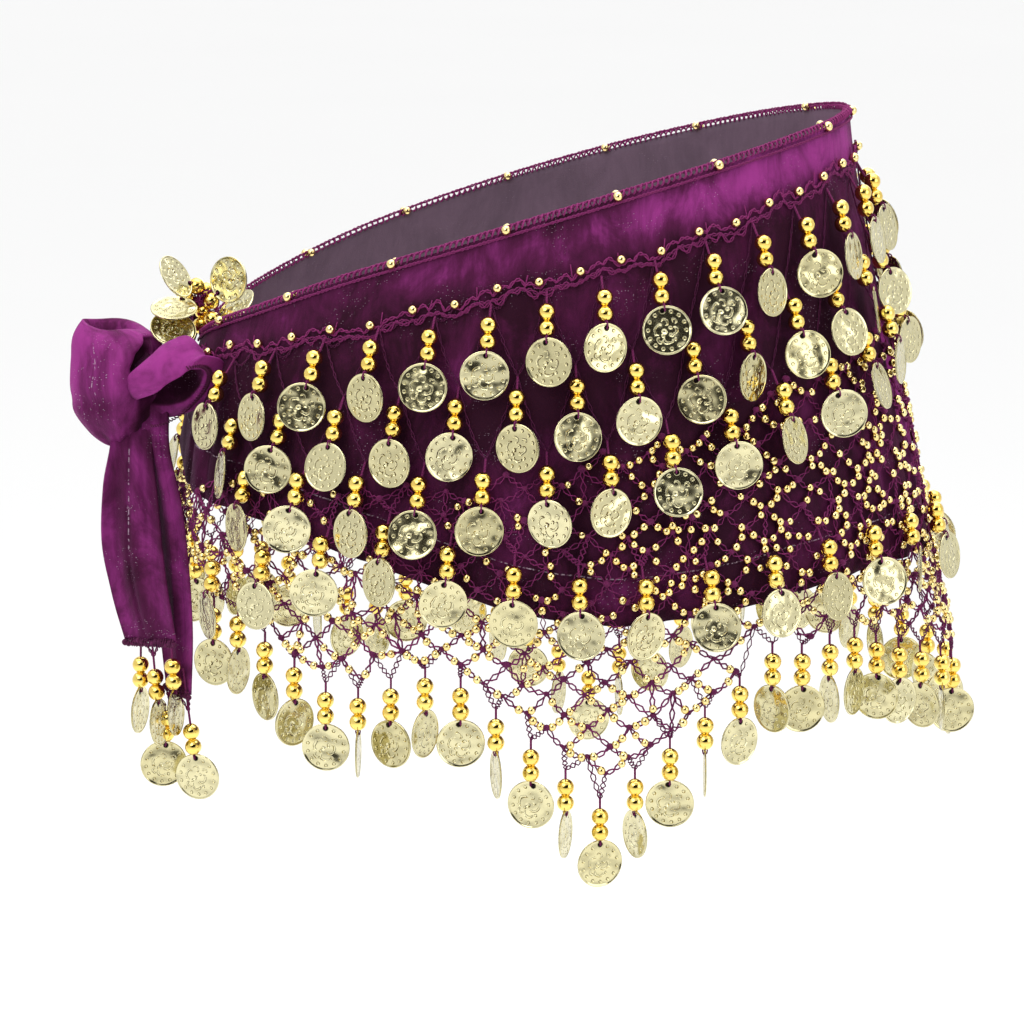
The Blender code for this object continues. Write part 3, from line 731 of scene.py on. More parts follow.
def add_drops(metal, threads, drops, sizes, lean_back):
    """The beads, coins and threads of drops. Metal has the coins' material second. Coins lean back by up to
    lean_back degrees more than those of the solids."""
    centres = np.array([bead for drop in drops for bead in drop.beads])
    tones = odd([drop.seed * 2 + k for drop in drops for k in (0, 1)], 5)
    add_balls(metal, centres, sizes.bead_radius, 17, 10, 0, tones)
    shape, faces, spot = coin_shape(sizes)
    for drop in drops:
        roll = math.radians(16) * (odd(drop.seed, 1) - 0.5)
        lean = math.radians(lean_back) * odd(drop.seed, 13)
        through = drop.through * math.cos(lean) - drop.up * math.sin(lean)
        up = drop.up * math.cos(lean) + drop.through * math.sin(lean)
        across = drop.across * math.cos(roll) + up * math.sin(roll)
        axes = np.array([across, up * math.cos(roll) - drop.across * math.sin(roll), through])
        centre = drop.coin + (drop.up - up) * (sizes.coin_radius - COIN_HOLE_BELOW_EDGE * MM)
        marks = spot.copy()
        marks[:, 2] = 10 * odd(drop.seed, 9)
        metal.add(np.array(centre) + shape @ axes, faces, 1, marks, odd(drop.seed, 7))
    t = np.linspace(0, 1, 6)[:, None]
    paths = [
        [np.array(drop.root) + (np.array(drop.hole) - np.array(drop.root)) * k for k in t] for drop in drops
    ]
    add_tubes(threads, np.array(paths), 0.5 * MM, 6, tone=0.4)
    ring = np.linspace(0, 2 * math.pi, 9)
    loops = []
    for drop in drops:
        centre = np.array(drop.hole) + np.array(drop.up) * 1.3 * MM
        loops.append(
            [centre + np.array(drop.up) * 1.7 * MM * math.cos(a) + np.array(drop.through) * 1.0 * MM * math.sin(a)
             for a in ring]
        )
    add_tubes(threads, np.array(loops), 0.32 * MM, 5, tone=0.4)


# Crochet


def thread_paths(start, end, out, sag, points=8):
    """Paths between pairs of places given as share and height, that hug the form and sag a little."""
    start, end = np.asarray(start, float), np.asarray(end, float)
    t = np.linspace(0, 1, points)[None, :]
    share = start[:, :1] + (end[:, :1] - start[:, :1]) * t
    height = start[:, 1:] + (end[:, 1:] - start[:, 1:]) * t
    height = height - np.reshape(sag, (-1, 1)) * 4 * t * (1 - t)
    return place(share, height, np.reshape(out, (-1, 1)))


def lattice_nodes(side):
    """The net's knots: their share and height, by column and row, from its hem up to the third row of drops."""
    nodes = {}
    top_row = ROWS[2]
    for column in range(0 if side > 0 else 1, NET_LAST_COLUMN + 1):
        share = column * NET_CELL_SHARE
        top = float(row_height(top_row, share)) - 5 * MM
        hem = float(line_at(NET_HEM, share))
        for step in range(50):
            if (column + step) % 2:
                continue
            height = NET_POINT_HEIGHT + step * NET_CELL_HEIGHT + 2.5 * MM
            if not hem + 1.8 * MM <= height <= top:
                continue
            loose = 1.0 + 0.6 * float(eased((share - 0.55) / 0.1))
            push = loose * (float(odd(column, step, side)) - 0.5)
            shift = loose * (float(odd(step, column, 2 + side)) - 0.5)
            nodes[column, step] = (side * (share + shift * 0.0072), height + push * 3.6 * MM)
    return nodes


def lattice_edges(nodes):
    edges = []
    for column, step in nodes:
        for after in ((column + 1, step + 1), (column - 1, step + 1)):
            if after in nodes:
                edges.append((nodes[column, step], nodes[after]))
        over = (column, step + 2)
        if over in nodes and odd(column, step, 5) < 0.12 + 0.3 * (column * NET_CELL_SHARE > 0.6):
            edges.append((nodes[column, step], nodes[over]))
    return edges


def on_velvet(share, height):
    return height > curve_at(VELVET_HEM, share)


def nearest_above(root, nodes, most):
    """The nearest knots above a root, one on each side of it where there are two."""
    found = []
    for side in (-1, 1):
        near = []
        for share, height in nodes:
            across = (share - root[0]) * 450 * MM
            rise = height - root[1]
            if side * across >= -1e-4 and 1.5 * MM < rise < most and abs(across) < 22 * MM:
                near.append((math.hypot(across, rise * 0.8), (share, height)))
        if near:
            found.append(min(near)[1])
    return found


# The net: how wide its strands twist, the small beads along a strand and how likely each is, what share of them is
# kept over the velvet, in the open net and near the scarf's middle, and how far up a drop's loops reach
NET_TWIST = 1.15 * MM
NetBead = namedtuple("NetBead", "along chance")
NET_BEADS = (NetBead(0.28, 0.66), NetBead(0.68, 0.60))
KEPT_ON_VELVET, KEPT_IN_OPEN, KEPT_AT_MIDDLE = 0.28, 0.8, 0.62
NET_MIDDLE_SHARE = 0.13
LOOP_REACH = 21 * MM


def make_nets(sizes, looks):
    """The net of each half, its threads and knots in one piece and its small beads in another."""
    pieces = []
    for name, side in (("front", 1), ("back", -1)):
        threads, beads = Gather(), Gather()
        nodes = lattice_nodes(side)
        edges = lattice_edges(nodes)
        if side < 0:
            middle = lattice_nodes(1)
            for (column, step), at in nodes.items():
                for rise in (1, -1):
                    if column == 1 and (0, step + rise) in middle:
                        ends = sorted((at, middle[0, step + rise]), key=lambda end: end[1])
                        edges.append(tuple(ends))
        start, end = np.array([e[0] for e in edges]), np.array([e[1] for e in edges])
        middle_share, middle_height = (start[:, 0] + end[:, 0]) / 2, (start[:, 1] + end[:, 1]) / 2
        over = on_velvet(middle_share, middle_height)
        count = np.arange(len(edges))
        sag = MM * (0.3 + 1.6 * odd(count, 11, side))
        paths = thread_paths(start, end, NET_OUT, sag, 7)
        tone = np.where(over, 0.5, 0.3) + 0.3 * odd(count, 4)
        strand = sizes.thread_radius * np.where(over, 0.95, 1.45)[:, None]
        add_twisted(threads, paths, NET_TWIST, 1.3, strand, 3, tone=tone)
        knots = place(*np.array(list(nodes.values())).T, NET_OUT)
        knot_tone = np.where(on_velvet(*np.array(list(nodes.values())).T), 0.45, 0.3)
        knot_size = MM * (1.0 + 0.9 * odd(np.arange(len(knots)), 17))
        add_balls(threads, knots, knot_size, 7, 5, tone=knot_tone, squash=0.8)
        loops = []
        hem_spots = hem_places(side, HEM_DROPS_FRONT if side > 0 else HEM_DROPS_BACK)
        hem_roots = [(s, float(hem_height(s))) for s, _ in hem_spots]
        last_row = ROWS[3]
        last_shares = [s for s, _ in row_places(last_row) if s * side > 0 or s == 0 and side > 0]
        last_roots = [(s, float(row_height(last_row, s))) for s in last_shares]
        for root in hem_roots + last_roots:
            for node in nearest_above(root, nodes.values(), LOOP_REACH):
                loops.append((root, node))
        start_loops = np.array([e[0] for e in loops])
        end_loops = np.array([e[1] for e in loops])
        loop_tone = np.where(on_velvet(*start_loops.T), 0.5, 0.2)
        loop_paths = thread_paths(start_loops, end_loops, NET_OUT, 0.6 * MM * odd(np.arange(len(loops)), 3), 12)
        add_twisted(threads, loop_paths, NET_TWIST, 2.2, sizes.thread_radius, 4, tone=loop_tone)
        centres = []
        dense = np.abs(middle_share) < DENSE_SHARE + 0.02 * np.sin(count)
        for spread, chance in NET_BEADS:
            kept = np.where(over & ~dense, KEPT_ON_VELVET, np.where(over, 1.0, KEPT_IN_OPEN))
            kept = kept * np.where(over & (np.abs(middle_share) < NET_MIDDLE_SHARE), KEPT_AT_MIDDLE, 1.0)
            keep = odd(count, 21 + int(spread * 100), side) < chance * kept
            t = spread + 0.1 * (odd(count, 31, spread) - 0.5)
            share = start[:, 0] + (end[:, 0] - start[:, 0]) * t
            height = start[:, 1] + (end[:, 1] - start[:, 1]) * t - sag * 4 * t * (1 - t)
            push = MM * 0.5 * odd(count, 41, spread)
            centres.append(place(share, height, NET_OUT + push)[keep])
        centres = np.concatenate(centres)
        seed_size = sizes.small_bead_radius * (0.92 + 0.16 * odd(np.arange(len(centres)), 19))
        add_balls(beads, centres, seed_size, 9, 7, tone=odd(np.arange(len(centres)), 8))
        net = threads.piece("crochet_net_" + name, [looks.thread])
        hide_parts("net_" + name)
        seeds = beads.piece("net_beads_" + name, [looks.small_bead])
        pieces += [net, seeds]
    return pieces


def chain_height(share):
    return curve_at(TOP_EDGE, share) - curve_at(CHAIN_DEPTH, share)


# How much larger than the net's the small beads of the chain and the edging are
TRIM_BEAD_SHARE = 1.15
# The chain's three strands: how high each arches, how far above the chain it lies and how light its thread is
ChainStrand = namedtuple("ChainStrand", "arch lift tone")
CHAIN_STRANDS = (
    ChainStrand(3.2, 0.6, 0.75),
    ChainStrand(-2.6, -0.4, 0.55),
    ChainStrand(0.9, -1.4, 0.45),
)
CHAIN_STITCHES = 118
CHAIN_BEADS = 44


def make_chain(sizes, looks):
    """The crocheted chain below the top edge that the first row hangs from, and the threads between rows."""
    threads, beads = Gather(), Gather()
    edges = np.linspace(-WRAP_END, WRAP_END, CHAIN_STITCHES + 1)
    t = np.linspace(0, 1, 9)[None, :]
    share = edges[:-1, None] + (edges[1:] - edges[:-1])[:, None] * t
    kind = np.arange(CHAIN_STITCHES)[:, None]
    wander = 1.4 * MM * np.sin(share * 61) + 0.9 * MM * np.sin(share * 143 + 1)
    base = chain_height(share) + wander
    for arch, lift, tone in CHAIN_STRANDS:
        uneven = 0.25 + 0.95 * odd(kind, arch)
        sway = uneven * arch * MM * np.sin(math.pi * t)
        sway = sway + 0.5 * MM * np.sin(7 * t + 9 * odd(kind, 2)) * t * (1 - t) * 4
        paths = place(share, base + lift * MM + sway, THREAD_OUT + 0.3 * MM * np.sin(math.pi * t))
        add_twisted(threads, paths, 0.55 * MM, 1.3, sizes.thread_radius, 4, tone=tone)
    ticks = share[::3, :1]
    tips = np.concatenate([ticks, chain_height(ticks) + 1.0 * MM], 1)
    aside = 0.006 * (odd(np.arange(len(ticks)), 2)[:, None] - 0.5)
    ends = tips + np.concatenate([aside, np.full_like(ticks, 5 * MM)], 1)
    add_tubes(threads, thread_paths(tips, ends, THREAD_OUT, 0.0, 4), sizes.thread_radius * 0.9, 4, tone=0.8)
    bead_share = np.linspace(-0.95, 0.95, CHAIN_BEADS)
    bead_height = chain_height(bead_share) + 2.6 * MM + 1.2 * MM * np.sin(bead_share * 61)
    centres = place(bead_share, bead_height, THREAD_OUT + 1.1 * MM)
    add_balls(beads, centres, sizes.small_bead_radius * TRIM_BEAD_SHARE, 12, 8, tone=0.5)
    above = [(s, float(chain_height(s))) for s in np.linspace(-0.97, 0.97, 69)]
    for row in ROWS[:3]:
        roots = [(s, float(row_height(row, s))) for s, _ in row_places(row)]
        pairs = [(root, end) for root in roots for end in nearest_above(root, above, 60 * MM)]
        start, end = np.array([p[0] for p in pairs]), np.array([p[1] for p in pairs])
        sag = MM * (1.5 + 3.5 * odd(np.arange(len(pairs)), row.swing))
        paths = thread_paths(start, end, THREAD_OUT, sag, 12)
        add_twisted(threads, paths, 0.6 * MM, 3, 0.7 * sizes.thread_radius, 3, tone=0.1)
        above = roots
    chain = threads.piece("crochet_chain", [looks.thread])
    seeds = beads.piece("chain_beads", [looks.small_bead])
    return [chain, seeds]


# The edging: its turns round the top edge, its thread, and the shares where a small bead sits on each side
EDGING_TURNS = 300
EDGING_THREAD = 0.42 * MM
EDGING_BEADS = (0.02, 0.13, 0.3, 0.42, 0.545, 0.67, 0.79, 0.9)


def make_edging(sizes, looks):
    """The crocheted edging that winds over the velvet's top edge, with a small bead every few centimetres."""
    threads, beads = Gather(), Gather()
    turns = np.arange(EDGING_TURNS)
    step = np.linspace(-WRAP_END, WRAP_END, EDGING_TURNS + 1)
    t = np.linspace(0, 1, 10)[None, :]
    share = step[:-1, None] + (step[1:] - step[:-1])[:, None] * t
    wide = MM * (1.15 + 0.35 * odd(turns, 6)[:, None]) * np.where(share < 0, 0.72, 1.0)
    angle = 2 * math.pi * t
    height = curve_at(TOP_EDGE, share) + np.where(share < 0, 0.5, 0.9) * MM + wide * np.cos(angle)
    out = 0.75 * MM + (wide + 0.3 * MM) * np.sin(angle)
    add_tubes(threads, place(share, height, out), EDGING_THREAD, 5, tone=0.6 + 0.3 * odd(turns, 2))
    for lift, out_at, tone in ((2.0, 0.75, 0.7), (-1.9, 2.15, 0.55)):
        edges = np.linspace(-WRAP_END, WRAP_END, 101)
        t = np.linspace(0, 1, 10)[None, :]
        share = edges[:-1, None] + (edges[1:] - edges[:-1])[:, None] * t
        paths = place(share, curve_at(TOP_EDGE, share) + lift * MM, out_at * MM)
        add_twisted(threads, paths, 0.45 * MM, 2.0, 0.36 * MM, 4, tone=tone)
    near = np.array(EDGING_BEADS)
    shares = np.concatenate([near, -near[1:]])
    heights = curve_at(TOP_EDGE, shares) + 0.6 * MM
    add_balls(beads, place(shares, heights, 2.6 * MM), sizes.small_bead_radius * TRIM_BEAD_SHARE, 12, 8, tone=0.5)
    add_balls(beads, place(shares[1:], heights[1:] + 0.6 * MM, -0.8 * MM), sizes.small_bead_radius, 12, 8, tone=0.4)
    edging = threads.piece("crochet_edging", [looks.thread])
    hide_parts("top_edging")
    seeds = beads.piece("edging_beads", [looks.small_bead])
    return [edging, seeds]


# Velvet


def crease_in(share, way):
    """How far the creases draw the velvet in, in metres, at a share and a part of the way to the hem."""
    deep = 0.0
    for crease in CREASES:
        t = (way - crease.top) / (crease.foot - crease.top)
        at = crease.share_top + (crease.share_foot - crease.share_top) * t
        at = at + 0.004 * np.sin(5 * t + crease.wide * 900)
        near = np.exp(-(((share - at) / crease.wide) ** 2))
        full = eased(t / 0.45) * eased((CREASE_END - t) / 0.3)
        deep = deep + crease.depth * MM * near * np.where((t > 0) & (t < CREASE_END), full, 0.0)
    return deep


def nap_and_painted_light(share, down):
    """How light the nap lies, with the painted light and shade, from 0 to 1."""
    light = 0.1
    for patch in NAP_AND_PAINTED_LIGHT_PATCHES:
        near = ((share - patch.share) / patch.reach_share) ** 2 + ((down - patch.down) / patch.reach_down) ** 2
        light = light + patch.light * np.exp(-near)
    return np.clip(light, 0, 1)


def surface_area(verts):
    """The area of a grid of places."""
    a, b = verts[1:, :-1] - verts[:-1, :-1], verts[:-1, 1:] - verts[:-1, :-1]
    return float(np.linalg.norm(np.cross(a, b), axis=-1).sum())


def add_cloth(gather, outer, thick, slots, spot, tone):
    """A closed thin sheet: its outer face, an inner face that lies thick behind it, and the edges between."""
    along = np.gradient(outer, axis=1)
    down = np.gradient(outer, axis=0)
    normal = unit(np.cross(down, along))
    rows, columns = outer.shape[:2]
    inner = outer - normal * thick
    count = rows * columns
    front = grid_faces(rows, columns)
    gather.add(outer, front, slots[0], spot.reshape(-1, 3), tone.reshape(-1))
    gather.add(inner, front[:, ::-1], slots[1], spot.reshape(-1, 3), tone.reshape(-1))
    base = gather.count - 2 * count
    ring = np.concatenate([
        np.arange(columns),
        np.arange(1, rows) * columns + columns - 1,
        (rows - 1) * columns + np.arange(columns - 2, -1, -1),
        np.arange(rows - 2, 0, -1) * columns,
    ])
    after = np.roll(ring, -1)
    rim = np.stack([after, ring, ring + count, after + count], -1) + base
    gather.faces.append(rim)
    gather.slots.append(np.full(len(rim), slots[0]))


def make_velvet(looks):
    """The velvet wrap, with its creases, as a thin closed sheet on its solid's form."""
    columns, rows = 400, 52
    share = np.linspace(WRAP_END, -WRAP_END, columns)[None, :]
    way = np.linspace(0, 1, rows)[:, None]
    top, hem = curve_at(TOP_EDGE, share), curve_at(VELVET_HEM, share)
    height = top + (hem - top) * way
    share = np.broadcast_to(share, height.shape)
    ripple = 0.25 * MM * np.sin(share * 210 + 6 * way) * np.sin(way * 17 + share * 40)
    turn_in = 0.9 * MM * np.exp(-(((1 - way) * (top - hem) / MM / 2.2) ** 2))
    out = 1.5 * MM - crease_in(share, way) + ripple * way - turn_in
    outer = place(share, height, out)
    spot = np.stack([share * 0.45, top - height, height - hem], -1)
    gather = Gather()
    # The tone is the velvet's nap together with its painted light and shade.
    add_cloth(gather, outer, CLOTH_THICK, (0, 1), spot, nap_and_painted_light(share, (top - height) / MM))
    cloth = gather.piece("velvet_cloth", [looks.velvet, looks.velvet_back])
    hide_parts("velvet_wrap")
    cloth["cloth_area"] = surface_area(outer)
    return cloth


# Knot and tie ends


def smooth_rows(rows, steps):
    """Values between the rows of a table, on a smooth curve through them."""
    rows = np.array(rows, float)
    at = np.arange(len(rows))
    slope = np.gradient(rows, axis=0)
    want = np.linspace(0, len(rows) - 1, steps)
    i = np.clip(want.astype(int), 0, len(rows) - 2)
    t = (want - at[i])[:, None]
    return (
        (2 * t**3 - 3 * t**2 + 1) * rows[i]
        + (t**3 - 2 * t**2 + t) * slope[i]
        + (3 * t**2 - 2 * t**3) * rows[i + 1]
        + (t**3 - t**2) * slope[i + 1]
    )


def make_knot(looks):
    """The knot's wide loop round its hollow, and the rolled band that comes out of it, open to the lower right."""
    levels, sides = 96, 160
    table = smooth_rows([tuple(level) for level in KNOT_DRUM], levels)
    angle = 2 * math.pi * np.arange(sides)[None, :] / sides
    height, across, deep, slope, shift = (table[:, i : i + 1] for i in range(5))
    way = np.linspace(0, 1, levels)[:, None]
    dent = 0.0
    for crease in KNOT_CREASES:
        t = (way - crease.start) / (crease.end - crease.start)
        at = np.radians(crease.angle + crease.turn * t)
        apart = np.angle(np.exp(1j * (angle - at)))
        near = np.exp(-((apart / math.radians(crease.wide)) ** 2))
        dent = dent + crease.depth * near * eased(t / 0.5) * np.where(t > 0, 1.0, 0.0)
    soft = 0.6 * np.sin(3 * angle + 4 * way) + 0.4 * np.sin(5 * angle - 6 * way + 1)
    turn = np.degrees(np.angle(np.exp(1j * angle)))
    edge = np.interp(height, [c.height for c in CHEEK_EDGE], [c.angle for c in CHEEK_EDGE])
    slot = np.interp(height, [c.height for c in CHEEK_EDGE], [c.deep for c in CHEEK_EDGE])
    outer = eased((way - 0.45) / 0.06)
    slot = slot * outer * eased((turn - edge) / 7) * eased((20 - turn) / 30)
    cheek = 1.6 * outer * np.exp(-(((turn - edge + 9) / 11) ** 2)) * eased((height + 92) / 12)
    across_fold = 0.0
    for fold in KNOT_FOLDS:
        apart = np.degrees(np.angle(np.exp(1j * (angle - math.radians(fold.angle)))))
        near = np.exp(-((apart / fold.reach) ** 2)) * np.exp(-(((height - fold.height) / fold.tall) ** 2))
        across_fold = across_fold + fold.depth * near
    bulge = cheek - dent - slot - across_fold * outer + soft * eased((way - 0.4) / 0.2)
    bulge = bulge + 0.9 * np.sin(2 * angle + 0.7) * eased((0.46 - way) / 0.06)
    x = (across + bulge) * np.cos(angle)
    y = (deep + bulge) * np.sin(angle)
    pinch = 1 - 0.45 * np.cos(angle) ** 2 * eased((0.42 - way) / 0.06)
    z = height - slope * x + 0.11 * y * eased((0.6 - way) / 0.2)
    z = z - (0.8 * np.cos(angle) + 0.5 * np.sin(3 * angle + 1)) * eased((height + 76) / 14)
    x, y = x + shift, y * pinch
    verts = np.stack([x, y, z], -1) * MM + np.array(KNOT_CENTRE)
    line = (turn + 118 - 2 * np.sin(height / 4)) * 0.0004
    line = line + np.sign(line) * 0.01 * ((height < -80) | (height > -60) | (way < 0.5))
    spot = np.stack([angle * 0.021 + way * 0, way * 0.1 + angle * 0, SEAM_ABOVE_HEM + line], -1)
    # Painted shade on the drum: darker inside the mouth, on the underside, in the slot beside the cheek and, on the
    # lower right, in the roll's painted shadow; lighter and darker bands round the drum.
    inside = eased((0.42 - way) / 0.06)
    under = eased((-80 - height) / 8) * outer
    beside = np.exp(-(((turn - edge - 14) / 20) ** 2))
    tone = 0.88 - 0.10 * inside - 0.22 * under + 0.12 * np.sin(angle * 2 + 1) - slot * (0.05 + 0.10 * beside)
    tone = tone - 0.45 * under * eased((turn + 72) / 14) * eased((30 - turn) / 20)
    loop = Gather()
    loop.add(verts, grid_faces(levels, sides, closed=True)[:, ::-1], 0, spot.reshape(-1, 3), tone.reshape(-1))
    loop_piece = loop.piece("knot_loop_cloth", [looks.velvet])
    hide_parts("knot_loop")
    levels, sides = 96, 140
    table = smooth_rows([tuple(level) for level in KNOT_ROLL], levels)
    way = np.linspace(0, 1, levels)[:, None]
    angle = 2 * math.pi * np.arange(sides)[None, :] / sides
    long = ROLL_LONG - ROLL_FACES * ROLL_LONG.dot(ROLL_FACES)
    long.normalize()
    short = ROLL_FACES.cross(long)
    if short.z < 0:
        short.negate()
    turn = np.degrees(np.angle(np.exp(1j * angle)))
    sway = 1 + 0.045 * np.sin(3 * angle + 5 * way) + 0.025 * np.sin(7 * angle - 4 * way)
    lip = eased((52 - turn) / 36) * eased((turn + 182) / 40) * (1 + 0.4 * np.cos(np.radians(turn + 15)))
    flare = table[:, 5:6] * lip
    centre = table[:, None, :3]
    around = ((table[:, 3:4] * sway + flare) * np.cos(angle))[..., None] * np.array(long)
    around = around + ((table[:, 4:5] * sway + flare) * np.sin(angle))[..., None] * np.array(short)
    inner = eased((way - 0.68) / 0.04)
    tucked = np.maximum(-np.cos(angle), 0.0) ** 1.4 * eased((way - 0.08) / 0.2)
    around = around + tucked[..., None] * np.array(ROLL_TUCK)
    shallow = inner * np.exp(-((turn / 55) ** 2)) * eased((way - 0.70) / 0.12)
    around = around + shallow[..., None] * ROLL_SHALLOW * np.array(ROLL_FACES)
    verts = (centre + around) * MM
    spot = np.stack([angle * 0.018 + way * 0, way * 0.08 + angle * 0, 0.06 + way * angle * 0], -1)
    # Painted light and shade on the roll: lighter on its lit face, its lit inner wall and its flared lip, and nearly
    # black in its hollow.
    lit_wall = np.exp(-(((turn + 2) / 38) ** 2)) * eased((0.90 - way) / 0.1)
    lit = eased((112 - np.abs(turn - 55)) / 50)
    tone = 1.05 * lit * (1 - inner) + inner * (0.02 + 0.95 * lit_wall) + 0.75 * lip * (1 - inner) * (1 - lit)
    roll = Gather()
    roll.add(verts, grid_faces(levels, sides, closed=True), 0, spot.reshape(-1, 3), np.clip(tone, 0, 1).reshape(-1))
    roll_piece = roll.piece("knot_roll_cloth", [looks.velvet])
    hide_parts("knot_lobe")
    rim = np.array(KNOT_ROLL[8][:3])
    paths = []
    for turn in np.radians(np.linspace(38, -165, ROLL_STITCHES)):
        reach = 0.5 * (1 + math.cos(turn))
        ends = [(17.2, 10.8, -0.05), (18.6 + reach, 12.2 + reach, 0.05)]
        points = []
        for t in np.linspace(0, 1, 5):
            wide, high, lean = (a + (b - a) * t for a, b in zip(*ends))
            at = rim + np.array(long) * wide * math.cos(turn + lean) + np.array(short) * high * math.sin(turn + lean)
            points.append((at + np.array(ROLL_FACES) * (0.5 + 0.5 * math.sin(math.pi * t))) * MM)
        paths.append(points)
    stitches = Gather()
    add_tubes(stitches, np.array(paths), 0.32 * MM, 5, tone=0.1)
    stitch_piece = stitches.piece("knot_stitches", [looks.thread])
    return [loop_piece, roll_piece, stitch_piece]


# How light each tie end's velvet is painted, the rear end lighter against the shade it hangs in, and the tuft of
# loose thread on the raised tip: its strands and their thread
TAIL_TONE = {"tail_front": 0.43, "tail_rear": 0.62, "tie_tip": 0.43}
TUFT_STRANDS = 22
TUFT_THREAD = 0.34 * MM


def make_tails(looks):
    """The tie's two hanging ends and its small raised tip, with their creases and crocheted edges."""
    pieces = []
    for name, table in TAILS.items():
        rows, columns = 70, 44
        values = smooth_rows([tuple(level) for level in table], rows)
        t = np.linspace(0, 1, columns)[None, :]
        height, left, left_front, right, right_front, wave, rise = (values[:, i : i + 1] for i in range(7))
        deep = wave * np.sin(3 * math.pi * t)
        for crease in TAIL_CREASES[name]:
            sway = 0.03 * np.sin(height / 14 + crease.across * 9)
            near = np.exp(-(((t - crease.across - sway) / crease.wide) ** 2))
            deep = deep + crease.depth * near * np.minimum(wave / 2, 1.0)
        x = left + (right - left) * t
        y = left_front + (right_front - left_front) * t + deep
        outer = np.stack([x, y, height + rise * t], -1) * MM
        first = TAIL_CREASES[name][1 if name != "tie_tip" else 0]
        line = (t - first.across - 0.03 * np.sin(height / 14 + first.across * 9)) * (right - left) * MM
        line = line + np.sign(line) * 0.01 * ((height < -147) | (height > -104) | (name != "tail_front"))
        spot = np.stack([x * MM, 0.05 - height * MM + 0 * x, SEAM_ABOVE_HEM + line], -1)
        # Painted light and shade: lighter and darker bands across the end that follow its waves.
        tone = TAIL_TONE[name] + 0.24 * np.sin(t * 8 - 1.4 + height / 40) * np.minimum(wave / 2, 1.0)
        gather = Gather()
        add_cloth(gather, outer, CLOTH_THICK, (0, 0), spot, np.clip(tone, 0.05, 1))
        tail = gather.piece(name + "_cloth", [looks.velvet])
        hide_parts(name)
        tail["cloth_area"] = surface_area(outer)
        edge_threads = Gather()
        down = -1 if name != "tie_tip" else 1
        edge = outer[-1] + np.array((0, -0.6, 0.3 * down)) * MM
        steps = np.arange(0, columns - 4, 2)
        t = np.linspace(0, 1, 9)[:, None]
        loops = []
        for i in steps:
            base = edge[i] + (edge[i + 4] - edge[i]) * t
            wide = 1.2 + 0.7 * float(odd(i, 3))
            turn = 2 * math.pi * t[:, 0]
            loops.append(base + np.stack([0 * turn, 1.1 * np.sin(turn), wide * np.cos(turn)], -1) * MM)
        add_tubes(edge_threads, np.array(loops), EDGING_THREAD, 5, tone=0.05)
        where = np.linspace(0, columns - 1, 15).astype(int)
        lumps = edge[where] + np.stack([0 * where, 0 * where, 0.8 * np.sin(where * 1.7)], -1) * MM
        add_balls(edge_threads, lumps, MM * (0.9 + 0.6 * odd(where, 9)), 10, 7, tone=0.3 * odd(where, 4))
        roots = [np.array((end.x, end.y, end.z)) * MM for end in END_DROPS[name + "_drops"]]
        hung = []
        for root, end in zip(roots, END_DROPS[name + "_drops"]):
            low = root + np.array(Vector(end.points).normalized()) * max(end.thread - 1, 0.5) * MM
            for side in (-1, 1):
                near = edge[int(np.argmin(np.abs(edge[:, 0] - root[0] - side * 3 * MM)))]
                hung.append([near + (low - near) * k for k in np.linspace(0, 1, 8)])
        add_twisted(edge_threads, np.array(hung), 0.8 * MM, 1.5, 0.34 * MM, 4, tone=0.25)
        if name == "tie_tip":
            around = np.linspace(0, 2 * math.pi, 12)
            tuft = []
            for i in range(TUFT_STRANDS):
                centre = (np.array(TUFT_CENTRE) + 2.4 * (odd(i, np.arange(3)) - 0.5) * (2.4, 1.2, 2.0)) * MM
                tilt, reach = 3.1 * float(odd(i, 5)), (1.8 + 1.8 * float(odd(i, 6))) * MM
                flat, high = reach * np.cos(around), 0.7 * reach * np.sin(around)
                aside = flat * math.cos(tilt) - high * math.sin(tilt)
                above = flat * math.sin(tilt) + high * math.cos(tilt)
                tuft.append(centre + np.stack([aside, -0.3 * high, above], -1))
            tones = 0.9 + 0.3 * odd(np.arange(TUFT_STRANDS), 8)
            add_tubes(edge_threads, np.array(tuft), TUFT_THREAD, 5, tone=tones)
        edging = edge_threads.piece(name + "_edging", [looks.thread])
        pieces += [tail, edging]
    return pieces


# Finishes


def add_node(tree, kind, settings=None, **inputs):
    """Adds a shader node. Inputs are named by socket, with _ for a space, or by number as in_0."""
    node = tree.nodes.new("ShaderNode" + kind)
    for name, value in (settings or {}).items():
        setattr(node, name, value)
    for name, value in inputs.items():
        socket = node.inputs[int(name[3:])] if name.startswith("in_") else node.inputs[name.replace("_", " ")]
        if isinstance(value, bpy.types.NodeSocket):
            tree.links.new(value, socket)
        else:
            socket.default_value = value
    return node


def calc(tree, operation, *values):
    node = add_node(tree, "Math", {"operation": operation}, **{f"in_{i}": v for i, v in enumerate(values)})
    return node.outputs[0]


def fade(tree, value, low, high):
    """0 below low and 1 above high, softly between. low may be above high."""
    node = add_node(tree, "MapRange", {"interpolation_type": "SMOOTHSTEP"}, Value=value, From_Min=low, From_Max=high)
    return node.outputs[0]


def blend_colour(tree, share, first, second):
    node = tree.nodes.new("ShaderNodeMix")
    node.data_type = "RGBA"
    for socket, value in zip((node.inputs[0], node.inputs[6], node.inputs[7]), (share, first, second)):
        if isinstance(value, bpy.types.NodeSocket):
            tree.links.new(value, socket)
        elif isinstance(value, float):
            socket.default_value = value
        else:
            socket.default_value = (*value[:3], 1.0)
    return node.outputs[2]


